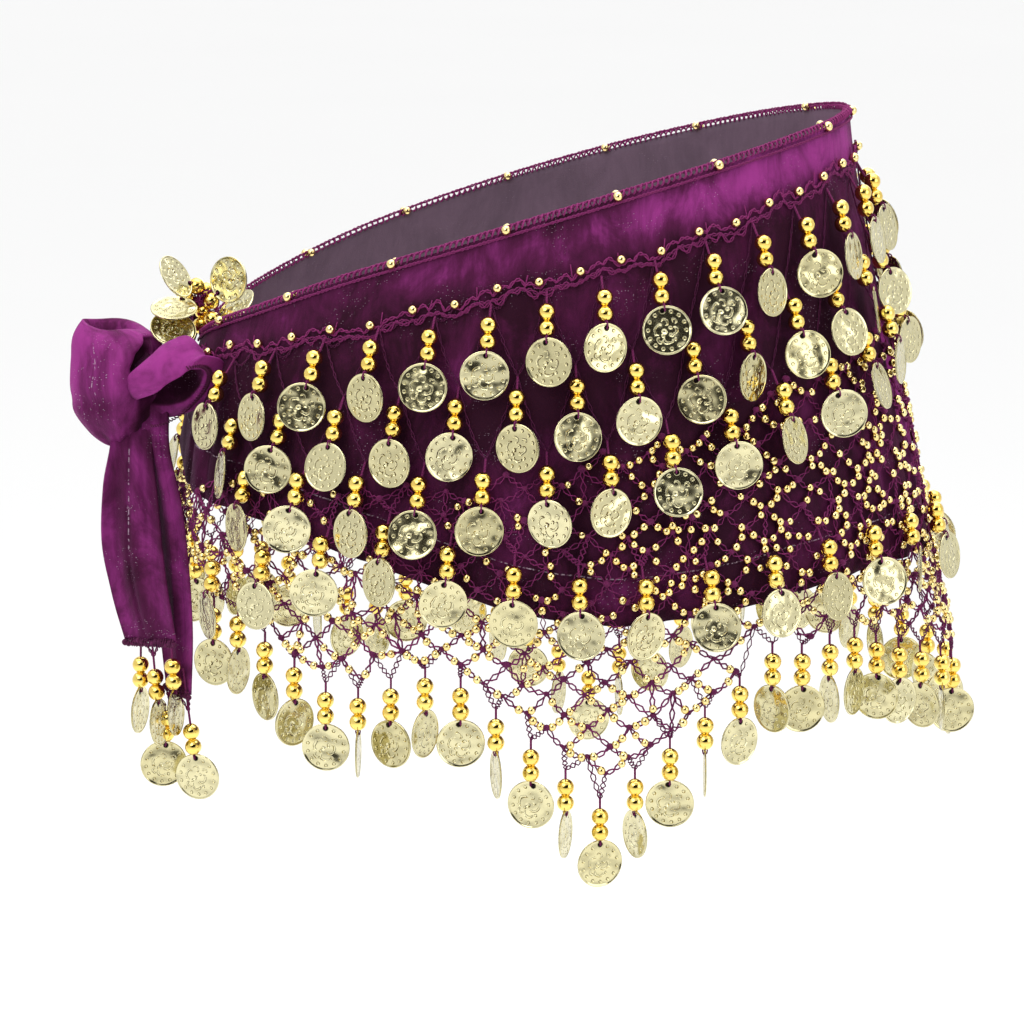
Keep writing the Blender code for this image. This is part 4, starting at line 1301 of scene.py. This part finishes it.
def new_finish(name, roughness, **constants):
    """A material with a Principled shader; constants name its sockets, with _ for a space."""
    material = bpy.data.materials.new(name)
    material.use_nodes = True
    shader = material.node_tree.nodes["Principled BSDF"]
    shader.inputs["Roughness"].default_value = roughness
    for key, value in constants.items():
        shader.inputs[key.replace("_", " ")].default_value = value
    return material, material.node_tree, shader


def bump(tree, shader, height, distance, strength=1.0, under=None):
    inputs = {"Height": height, "Distance": distance, "Strength": strength}
    if under:
        inputs["Normal"] = under
    node = add_node(tree, "Bump", **inputs)
    tree.links.new(node.outputs[0], shader.inputs["Normal"])
    return node.outputs[0]


def scaled(tree, vector, scale):
    return add_node(tree, "Mapping", Vector=vector, Scale=scale).outputs[0]


def spot_of(tree):
    return add_node(tree, "Attribute", {"attribute_name": "spot"}).outputs["Vector"]


def tone_value(tree):
    return add_node(tree, "Attribute", {"attribute_name": "tone"}).outputs["Fac"]


def velvet_finish(colours, back):
    """Crushed velvet: nap that lies light and dark, with the painted light and shade of each vertex's tone on the
    front face, fine glitter in short dashes, and a stitched line at the hem.
    """
    name = "velvet wrong side" if back else "crushed velvet"
    sheen = 0.25 if back else 0.2
    material, tree, shader = new_finish(
        name, 0.62 if back else 0.7, Sheen_Weight=sheen, Sheen_Roughness=0.35,
        Sheen_Tint=(*colours.velvet_sheen, 1.0), Specular_IOR_Level=0.35 if back else 0.08,
    )
    spot, tone = spot_of(tree), tone_value(tree)
    crushed = add_node(tree, "TexNoise", Vector=scaled(tree, spot, (48, 34, 0)), Scale=1.0, Detail=7.0,
                       Roughness=0.66, Distortion=0.6)
    streaks = add_node(tree, "TexNoise", Vector=scaled(tree, spot, (420, 90, 0)), Scale=1.0, Detail=3.0)
    pile = add_node(tree, "TexNoise", Vector=scaled(tree, spot, (2600, 1700, 0)), Scale=1.0, Detail=2.0)
    crush = calc(tree, "SUBTRACT", crushed.outputs[0], 0.5)
    streak = calc(tree, "SUBTRACT", streaks.outputs[0], 0.5)
    # On the front face the tone brings in the nap and the painted light and shade of the wrap, knot and tie ends.
    light = calc(tree, "MULTIPLY_ADD", crush, 1.7 if not back else 1.2, tone if not back else 0.5)
    light = calc(tree, "MULTIPLY_ADD", streak, 0.3 if not back else 0.25, light)
    if back:
        colour = blend_colour(tree, fade(tree, light, 0.1, 0.9), tuple(0.6 * c for c in colours.velvet_back),
                              colours.velvet_back)
    else:
        colour = blend_colour(tree, fade(tree, light, 0.0, 0.5), colours.velvet_dark, colours.velvet_middle)
        colour = blend_colour(tree, fade(tree, light, 0.38, 1.15), colour, colours.velvet_light)
    speck = add_node(tree, "TexVoronoi", Vector=scaled(tree, spot, (800, 1700, 0)), Scale=1.0, Randomness=1.0)
    zones = add_node(tree, "TexNoise", Vector=scaled(tree, spot, (38, 62, 0)), Scale=1.0, Detail=3.0)
    lone = add_node(tree, "TexWhiteNoise", Vector=speck.outputs["Position"])
    shown = calc(tree, "GREATER_THAN", lone.outputs["Value"], 0.55)
    near = fade(tree, speck.outputs["Distance"], 0.24, 0.12)
    glint = calc(tree, "MULTIPLY", calc(tree, "MULTIPLY", near, shown), fade(tree, zones.outputs[0], 0.52, 0.66))
    glint = calc(tree, "MULTIPLY", glint, 0.3 if back else 0.75)
    hem = add_node(tree, "SeparateXYZ", Vector=spot).outputs[2]
    if not back:
        line = calc(tree, "ABSOLUTE", calc(tree, "SUBTRACT", hem, SEAM_ABOVE_HEM))
        dash = add_node(tree, "TexNoise", Vector=scaled(tree, spot, (700, 700, 0)), Scale=1.0, Detail=1.0)
        seam = calc(tree, "MULTIPLY", fade(tree, line, 0.0004, 0.0001), fade(tree, dash.outputs[0], 0.46, 0.6))
        glint = calc(tree, "MAXIMUM", glint, calc(tree, "MULTIPLY", seam, 0.55))
    colour = blend_colour(tree, glint, colour, colours.glitter)
    tree.links.new(colour, shader.inputs["Base Color"])
    rough = calc(tree, "MULTIPLY_ADD", glint, -0.35, 0.7)
    tree.links.new(rough, shader.inputs["Roughness"])
    fine = calc(tree, "MULTIPLY_ADD", crush, 2.2, pile.outputs[0])
    fine = calc(tree, "MULTIPLY_ADD", glint, 1.2, fine)
    if not back:
        groove = fade(tree, line, 0.0012, 0.0002)
        fine = calc(tree, "MULTIPLY_ADD", groove, -1.4, fine)
    bump(tree, shader, fine, 0.0004, 0.6)
    return material


def thread_finish(colours):
    """Crochet thread: two plies that wind round, with painted shade in the grooves between them, dull, lighter where
    it lies on the velvet.
    """
    material, tree, shader = new_finish(
        "crochet thread", 0.8, Sheen_Weight=0.15, Sheen_Roughness=0.5, Sheen_Tint=(*colours.velvet_sheen, 1.0),
        Specular_IOR_Level=0.25,
    )
    spot, tone = spot_of(tree), tone_value(tree)
    ply = add_node(tree, "SeparateXYZ", Vector=spot)
    # The windings darken the thread between the plies: painted shade in the grooves, besides the bump.
    wind = calc(tree, "MULTIPLY_ADD", ply.outputs[0], 5200.0, calc(tree, "MULTIPLY", ply.outputs[1], 2.0))
    wave = calc(tree, "MULTIPLY_ADD", calc(tree, "SINE", wind), 0.5, 0.5)
    where = add_node(tree, "TexCoord").outputs["Object"]
    fluff = add_node(tree, "TexNoise", Vector=where, Scale=900.0, Detail=3.0)
    light = calc(tree, "MULTIPLY_ADD", wave, 0.3, calc(tree, "MULTIPLY_ADD", fluff.outputs[0], 0.5, tone))
    colour = blend_colour(tree, fade(tree, light, 0.2, 1.4), colours.thread_dark, colours.thread_light)
    tree.links.new(colour, shader.inputs["Base Color"])
    bump(tree, shader, calc(tree, "ADD", wave, fluff.outputs[0]), 0.0002, 0.6)
    return material


def bead_finish(name, deep, light):
    """Plated beads: mirror-like warm gold with slight haze and wear."""
    material, tree, shader = new_finish(name, 0.1, Metallic=1.0, Coat_Weight=0.3, Coat_Roughness=0.05)
    where = add_node(tree, "TexCoord").outputs["Object"]
    cloudy = add_node(tree, "TexNoise", Vector=where, Scale=420.0, Detail=4.0)
    worn = add_node(tree, "TexNoise", Vector=where, Scale=1500.0, Detail=2.0)
    share = calc(tree, "MULTIPLY_ADD", tone_value(tree), 0.5, calc(tree, "MULTIPLY", cloudy.outputs[0], 0.5))
    colour = blend_colour(tree, share, deep, light)
    tree.links.new(colour, shader.inputs["Base Color"])
    tree.links.new(fade(tree, cloudy.outputs[0], 0.1, 2.2), shader.inputs["Roughness"])
    bump(tree, shader, worn.outputs[0], 0.00004, 0.25)
    return material


# The coin's relief, in shares of its radius: arcs with a radius, of which the part within reach shows, and bosses
CoinMark = namedtuple("CoinMark", "centre radius wide part reach")
COIN_MARKS = (
    CoinMark((-0.16, 0.14), 0.25, 0.055, (-0.36, 0.24), 0.30),
    CoinMark((0.24, 0.04), 0.21, 0.055, (0.38, -0.08), 0.28),
    CoinMark((0.06, -0.26), 0.20, 0.060, (0.00, -0.42), 0.26),
    CoinMark((0.02, 0.42), 0.14, 0.045, (0.10, 0.46), 0.18),
    CoinMark((0.44, 0.34), 0.10, 0.045, (0.48, 0.40), 0.14),
    CoinMark((-0.26, -0.22), 0.13, 0.050, (-0.36, -0.28), 0.17),
    CoinMark((-0.04, 0.04), 0.0, 0.12, (0, 0), 0),
    CoinMark((0.22, 0.16), 0.0, 0.09, (0, 0), 0),
    CoinMark((-0.14, -0.10), 0.0, 0.08, (0, 0), 0),
    CoinMark((0.34, -0.34), 0.0, 0.08, (0, 0), 0),
    CoinMark((-0.40, 0.02), 0.0, 0.07, (0, 0), 0),
    CoinMark((0.16, -0.14), 0.0, 0.07, (0, 0), 0),
)
DOTS_IN_RING = 14
DOT_RING = 0.77


def coin_finish(colours):
    """Stamped coins: a rim, a ring of dots, a worn abstract relief, a hole at the top painted near black as its
    shade, and tarnish in the hollows.
    """
    material, tree, shader = new_finish("coin gold", 0.24, Metallic=1.0)
    spot = spot_of(tree)
    parts = add_node(tree, "SeparateXYZ", Vector=spot)
    x, y, seed = parts.outputs[0], parts.outputs[1], parts.outputs[2]
    flat = add_node(tree, "CombineXYZ", X=x, Y=y)
    away = add_node(tree, "VectorMath", {"operation": "LENGTH"}, in_0=flat.outputs[0]).outputs["Value"]
    around = calc(tree, "MULTIPLY", calc(tree, "ARCTAN2", y, x), DOTS_IN_RING / (2 * math.pi))
    cell = calc(tree, "SUBTRACT", calc(tree, "FRACT", around), 0.5)
    side = calc(tree, "MULTIPLY", cell, 2 * math.pi * DOT_RING / DOTS_IN_RING)
    up = calc(tree, "SUBTRACT", away, DOT_RING)
    gap = calc(tree, "SQRT", calc(tree, "ADD", calc(tree, "MULTIPLY", side, side), calc(tree, "MULTIPLY", up, up)))
    dots = fade(tree, gap, 0.085, 0.035)
    shifted = add_node(tree, "CombineXYZ", X=x, Y=y, Z=seed)
    wander = add_node(tree, "TexNoise", Vector=scaled(tree, shifted.outputs[0], (3, 3, 1)), Scale=1.0, Detail=1.0)
    pushed = add_node(tree, "VectorMath", {"operation": "MULTIPLY_ADD"}, in_0=wander.outputs["Color"],
                      in_1=(0.16, 0.16, 0.0), in_2=flat.outputs[0]).outputs[0]
    relief = 0.0
    for mark in COIN_MARKS:
        from_centre = add_node(tree, "VectorMath", {"operation": "DISTANCE"}, in_0=pushed, in_1=(*mark.centre, 0.0))
        off = calc(tree, "ABSOLUTE", calc(tree, "SUBTRACT", from_centre.outputs["Value"], mark.radius))
        stroke = fade(tree, off, mark.wide, 0.3 * mark.wide)
        if mark.radius:
            from_part = add_node(tree, "VectorMath", {"operation": "DISTANCE"}, in_0=pushed, in_1=(*mark.part, 0.0))
            shown = fade(tree, from_part.outputs["Value"], mark.reach, 0.7 * mark.reach)
            stroke = calc(tree, "MULTIPLY", stroke, shown)
        relief = calc(tree, "MAXIMUM", stroke, relief)
    waves = add_node(tree, "TexNoise", Vector=scaled(tree, shifted.outputs[0], (1.1, 1.1, 1)), Scale=1.0, Detail=1.0)
    height = calc(tree, "MAXIMUM", relief, dots)
    height = calc(tree, "MULTIPLY_ADD", waves.outputs[0], 3.4, height)
    from_hole = add_node(tree, "VectorMath", {"operation": "DISTANCE"}, in_0=flat.outputs[0], in_1=(0.0, 0.8, 0.0))
    hole = fade(tree, from_hole.outputs["Value"], 0.13, 0.085)
    height = calc(tree, "MULTIPLY_ADD", hole, -1.5, height)
    grain = add_node(tree, "TexNoise", Vector=scaled(tree, shifted.outputs[0], (26, 26, 1)), Scale=1.0, Detail=3.0)
    height = calc(tree, "MULTIPLY_ADD", grain.outputs[0], 0.015, height)
    tarnish = calc(tree, "MULTIPLY_ADD", grain.outputs[0], 0.5, calc(tree, "MULTIPLY", tone_value(tree), 0.5))
    colour = blend_colour(tree, tarnish, colours.coin_pale, colours.coin_deep)
    colour = blend_colour(tree, calc(tree, "MULTIPLY", relief, 0.35), colour, colours.coin_pale)
    # The hole is painted near black: painted shade, as the disc has no hole cut through it.
    colour = blend_colour(tree, hole, colour, (0.01, 0.006, 0.008))
    tree.links.new(colour, shader.inputs["Base Color"])
    tree.links.new(calc(tree, "MULTIPLY_ADD", grain.outputs[0], 0.12, 0.12), shader.inputs["Roughness"])
    bump(tree, shader, height, 0.0006, 0.9)
    return material


def pale_finish(name, colour):
    material, tree, shader = new_finish(name, 0.9, Specular_IOR_Level=0.1)
    where = add_node(tree, "TexCoord").outputs["Object"]
    faint = add_node(tree, "TexNoise", Vector=where, Scale=0.8, Detail=2.0)
    shade = blend_colour(tree, faint.outputs[0], tuple(0.985 * c for c in colour), colour)
    tree.links.new(shade, shader.inputs["Base Color"])
    return material


Looks = namedtuple("Looks", "velvet velvet_back thread bead small_bead coin")


def finishes():
    """The scarf's finishes, made once and then found again by name."""
    colours = bpy.context.scene.hip_scarf_colours
    if "crushed velvet" not in bpy.data.materials:
        velvet_finish(colours, False)
        velvet_finish(colours, True)
        thread_finish(colours)
        bead_finish("bead gold", colours.bead_deep, colours.bead_light)
        bead_finish("small bead gold", colours.small_bead_deep, colours.small_bead_light)
        coin_finish(colours)
    names = ("crushed velvet", "velvet wrong side", "crochet thread", "bead gold", "small bead gold", "coin gold")
    return Looks(*(bpy.data.materials[name] for name in names))


# Properties, operators and panel


def colour_value(name, description, shade):
    return FloatVectorProperty(
        name=name, description=description, default=shade, size=3, min=0, max=1, subtype="COLOR"
    )


def length_value(name, description, metres):
    return FloatProperty(name=name, description=description, default=metres, min=0.0001, max=0.1, unit="LENGTH")


class HipScarfColours(PropertyGroup):
    """Colours of the scarf's finishes"""

    # The velvet's dark, middle and light colours also show the painted shade and painted light that the tone carries.
    velvet_dark: colour_value("Velvet dark", "Nap that lies away from the light", (0.023, 0.0026, 0.012))
    velvet_middle: colour_value("Velvet", "The velvet's own colour", (0.066, 0.0065, 0.040))
    velvet_light: colour_value("Velvet light", "Nap that lies towards the light", (0.27, 0.030, 0.20))
    velvet_sheen: colour_value("Velvet sheen", "Colour of the sheen at grazing angles", (0.60, 0.15, 0.48))
    velvet_back: colour_value("Wrong side", "The velvet's smooth inner side", (0.155, 0.095, 0.14))
    glitter: colour_value("Glitter", "Fine specks in the velvet", (0.55, 0.42, 0.52))
    thread_dark: colour_value("Thread dark", "Crochet thread in the open net", (0.050, 0.004, 0.028))
    thread_light: colour_value("Thread light", "Crochet thread that lies on the velvet", (0.22, 0.018, 0.12))
    bead_deep: colour_value("Bead gold deep", "Gold of the large beads where it is deepest", (0.84, 0.56, 0.10))
    bead_light: colour_value("Bead gold", "Gold of the large beads", (0.93, 0.73, 0.20))
    small_bead_deep: colour_value("Small bead deep", "Gold of the small beads in their hollows", (0.78, 0.58, 0.20))
    small_bead_light: colour_value("Small bead", "Gold of the small beads", (0.90, 0.77, 0.38))
    coin_pale: colour_value("Coin gold", "Pale gold of the coins", (0.76, 0.71, 0.45))
    coin_deep: colour_value("Coin tarnish", "Darker gold of the coins", (0.56, 0.50, 0.26))
    floor: colour_value("Floor", "Studio floor", (0.92, 0.92, 0.92))


class HipScarfSizes(PropertyGroup):
    """Sizes of the scarf's small parts"""

    coin_radius: length_value("Coin radius", "Half the width of a coin", 10 * MM)
    coin_thickness: length_value("Coin thickness", "Thickness of a coin at its rim", 0.9 * MM)
    bead_radius: length_value("Large bead radius", "Half the width of a drop's bead", 3.6 * MM)
    small_bead_radius: length_value("Small bead radius", "Half the width of a bead in the net", 1.8 * MM)
    thread_radius: length_value("Thread radius", "Half the width of a crochet strand", 0.3 * MM)


def settings(context):
    return context.scene.hip_scarf_sizes, finishes()


def ride_all(pieces):
    for piece in pieces:
        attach(piece, "root")


class HIPSCARF_OT_velvet(Operator):
    """Make the velvet wrap with its creases"""

    bl_idname = "hip_scarf.velvet"
    bl_label = "Velvet wrap"

    def execute(self, context):
        ride_all([make_velvet(settings(context)[1])])
        return {"FINISHED"}


class HIPSCARF_OT_edging(Operator):
    """Make the crocheted edging along the top"""

    bl_idname = "hip_scarf.edging"
    bl_label = "Top edging"

    def execute(self, context):
        ride_all(make_edging(*settings(context)))
        return {"FINISHED"}


class HIPSCARF_OT_nets(Operator):
    """Make the beaded nets of both halves"""

    bl_idname = "hip_scarf.nets"
    bl_label = "Beaded nets"

    def execute(self, context):
        ride_all(make_nets(*settings(context)))
        return {"FINISHED"}


class HIPSCARF_OT_chain(Operator):
    """Make the crocheted chain and the threads between the rows of drops"""

    bl_idname = "hip_scarf.chain"
    bl_label = "Chain and threads"

    def execute(self, context):
        ride_all(make_chain(*settings(context)))
        return {"FINISHED"}


class HIPSCARF_OT_drops(Operator):
    """Make every row of beaded coin drops, those of the hem and those of the tie's ends"""

    bl_idname = "hip_scarf.drops"
    bl_label = "Coin drops"

    def execute(self, context):
        sizes, looks = settings(context)
        groups = {row.name: row_drops(row, 100 * (i + 1)) for i, row in enumerate(ROWS)}
        groups["hem_drops_front"] = hem_drops(1, HEM_DROPS_FRONT, 600)
        groups["hem_drops_back"] = hem_drops(-1, HEM_DROPS_BACK, 700)
        for i, (name, ends) in enumerate(END_DROPS.items()):
            groups[name] = end_drops(ends, 1 if name == "tie_tip_drops" else -1, 800 + 10 * i)
        threads = Gather()
        for name, drops in groups.items():
            metal = Gather()
            add_drops(metal, threads, drops, sizes, ROW_LEAN_BACK if name.startswith("coin_row") else 0.0)
            piece = metal.piece(name + "_metal", [looks.bead, looks.coin])
            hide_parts(name)
            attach(piece, "root")
        strands = threads.piece("drop_threads", [looks.thread])
        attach(strands, "root")
        return {"FINISHED"}


class HIPSCARF_OT_knot(Operator):
    """Make the knot's loop and rolled band"""

    bl_idname = "hip_scarf.knot"
    bl_label = "Knot"

    def execute(self, context):
        ride_all(make_knot(settings(context)[1]))
        return {"FINISHED"}


class HIPSCARF_OT_tails(Operator):
    """Make the tie's hanging ends and raised tip"""

    bl_idname = "hip_scarf.tails"
    bl_label = "Tie ends"

    def execute(self, context):
        ride_all(make_tails(settings(context)[1]))
        return {"FINISHED"}


class HIPSCARF_OT_cloth(Operator):
    """Does nothing; the velvet wrap and the tie ends keep their surface area as cloth_area when they are made"""

    bl_idname = "hip_scarf.cloth"
    bl_label = "Flat sizes"

    def execute(self, context):
        return {"FINISHED"}


class HIPSCARF_OT_studio(Operator):
    """Make the plain pale floor, the soft lights and the camera"""

    bl_idname = "hip_scarf.studio"
    bl_label = "Studio"

    def execute(self, context):
        scene = context.scene
        mesh = bpy.data.meshes.new("floor")
        turn = 2 * math.pi * np.arange(FLOOR_SIDES) / FLOOR_SIDES
        ring = [(FLOOR_RADIUS * math.cos(a), FLOOR_RADIUS * math.sin(a), FLOOR_HEIGHT) for a in turn]
        mesh.from_pydata(ring, [], [tuple(range(FLOOR_SIDES))])
        mesh.materials.append(pale_finish("pale floor", tuple(scene.hip_scarf_colours.floor)))
        floor = bpy.data.objects.new("floor", mesh)
        scene.collection.objects.link(floor)
        for spot in STUDIO_LIGHTS:
            data = bpy.data.lights.new(spot.name, "AREA")
            data.shape, data.size, data.energy = "DISK", spot.wide, spot.power
            light = bpy.data.objects.new(spot.name, data)
            light.location = (spot.x, spot.y, spot.z)
            light.rotation_mode = "QUATERNION"
            light.rotation_quaternion = (CAMERA_AIM - light.location).to_track_quat("-Z", "Y")
            scene.collection.objects.link(light)
        data = bpy.data.lights.new("ceiling", "SUN")
        data.angle, data.energy = math.radians(100), CEILING_POWER
        ceiling = bpy.data.objects.new("ceiling", data)
        ceiling.location = (0, 0, 3)
        scene.collection.objects.link(ceiling)
        world = bpy.data.worlds.new("studio")
        world.use_nodes = True
        tree = world.node_tree
        from_dark = add_node(tree, "VectorMath", {"operation": "DISTANCE"},
                             in_0=add_node(tree, "TexCoord").outputs["Generated"], in_1=DARK_SIDE)
        dark = fade(tree, from_dark.outputs["Value"], 0.90, 0.58)
        room = blend_colour(tree, dark, (0.9, 0.9, 0.9), (0.012, 0.010, 0.008))
        rays = add_node(tree, "LightPath")
        colour = blend_colour(tree, rays.outputs["Is Glossy Ray"], (0.5, 0.5, 0.5), room)
        colour = blend_colour(tree, rays.outputs["Is Camera Ray"], colour, (1.0, 1.0, 1.0))
        tree.links.new(colour, tree.nodes["Background"].inputs["Color"])
        scene.world = world
        scene.view_settings.view_transform = "Standard"
        data = bpy.data.cameras.new("camera")
        data.lens, data.sensor_width = CAMERA_LENS, 36.0
        camera = bpy.data.objects.new("camera", data)
        back = Vector((0, -math.cos(CAMERA_ELEVATION), math.sin(CAMERA_ELEVATION)))
        camera.location = CAMERA_AIM + back * CAMERA_DISTANCE
        camera.rotation_mode = "QUATERNION"
        camera.rotation_quaternion = (-back).to_track_quat("-Z", "Y")
        scene.collection.objects.link(camera)
        scene.camera = camera
        return {"FINISHED"}


OPERATORS = (
    HIPSCARF_OT_velvet,
    HIPSCARF_OT_edging,
    HIPSCARF_OT_chain,
    HIPSCARF_OT_nets,
    HIPSCARF_OT_drops,
    HIPSCARF_OT_knot,
    HIPSCARF_OT_tails,
    HIPSCARF_OT_cloth,
    HIPSCARF_OT_studio,
)


class HIPSCARF_PT_pieces(Panel):
    """Lists the scarf's pieces in the order in which they are made"""

    bl_idname = "HIPSCARF_PT_pieces"
    bl_label = "Hip scarf"
    bl_space_type = "VIEW_3D"
    bl_region_type = "UI"
    bl_category = "Hip Scarf"

    def draw(self, context):
        for operator in OPERATORS:
            self.layout.operator(operator.bl_idname)
        for group in (context.scene.hip_scarf_sizes, context.scene.hip_scarf_colours):
            for name in group.__annotations__:
                self.layout.prop(group, name)


def register():
    for group in (HipScarfColours, HipScarfSizes, *OPERATORS, HIPSCARF_PT_pieces):
        bpy.utils.register_class(group)
    bpy.types.Scene.hip_scarf_colours = PointerProperty(type=HipScarfColours)
    bpy.types.Scene.hip_scarf_sizes = PointerProperty(type=HipScarfSizes)


def unregister():
    del bpy.types.Scene.hip_scarf_sizes
    del bpy.types.Scene.hip_scarf_colours
    for group in (HIPSCARF_PT_pieces, *reversed(OPERATORS), HipScarfSizes, HipScarfColours):
        bpy.utils.unregister_class(group)


def main():
    register()
    for operator in OPERATORS:
        group, name = operator.bl_idname.split(".")
        getattr(getattr(bpy.ops, group), name)()


if __name__ == "__main__":
    main()
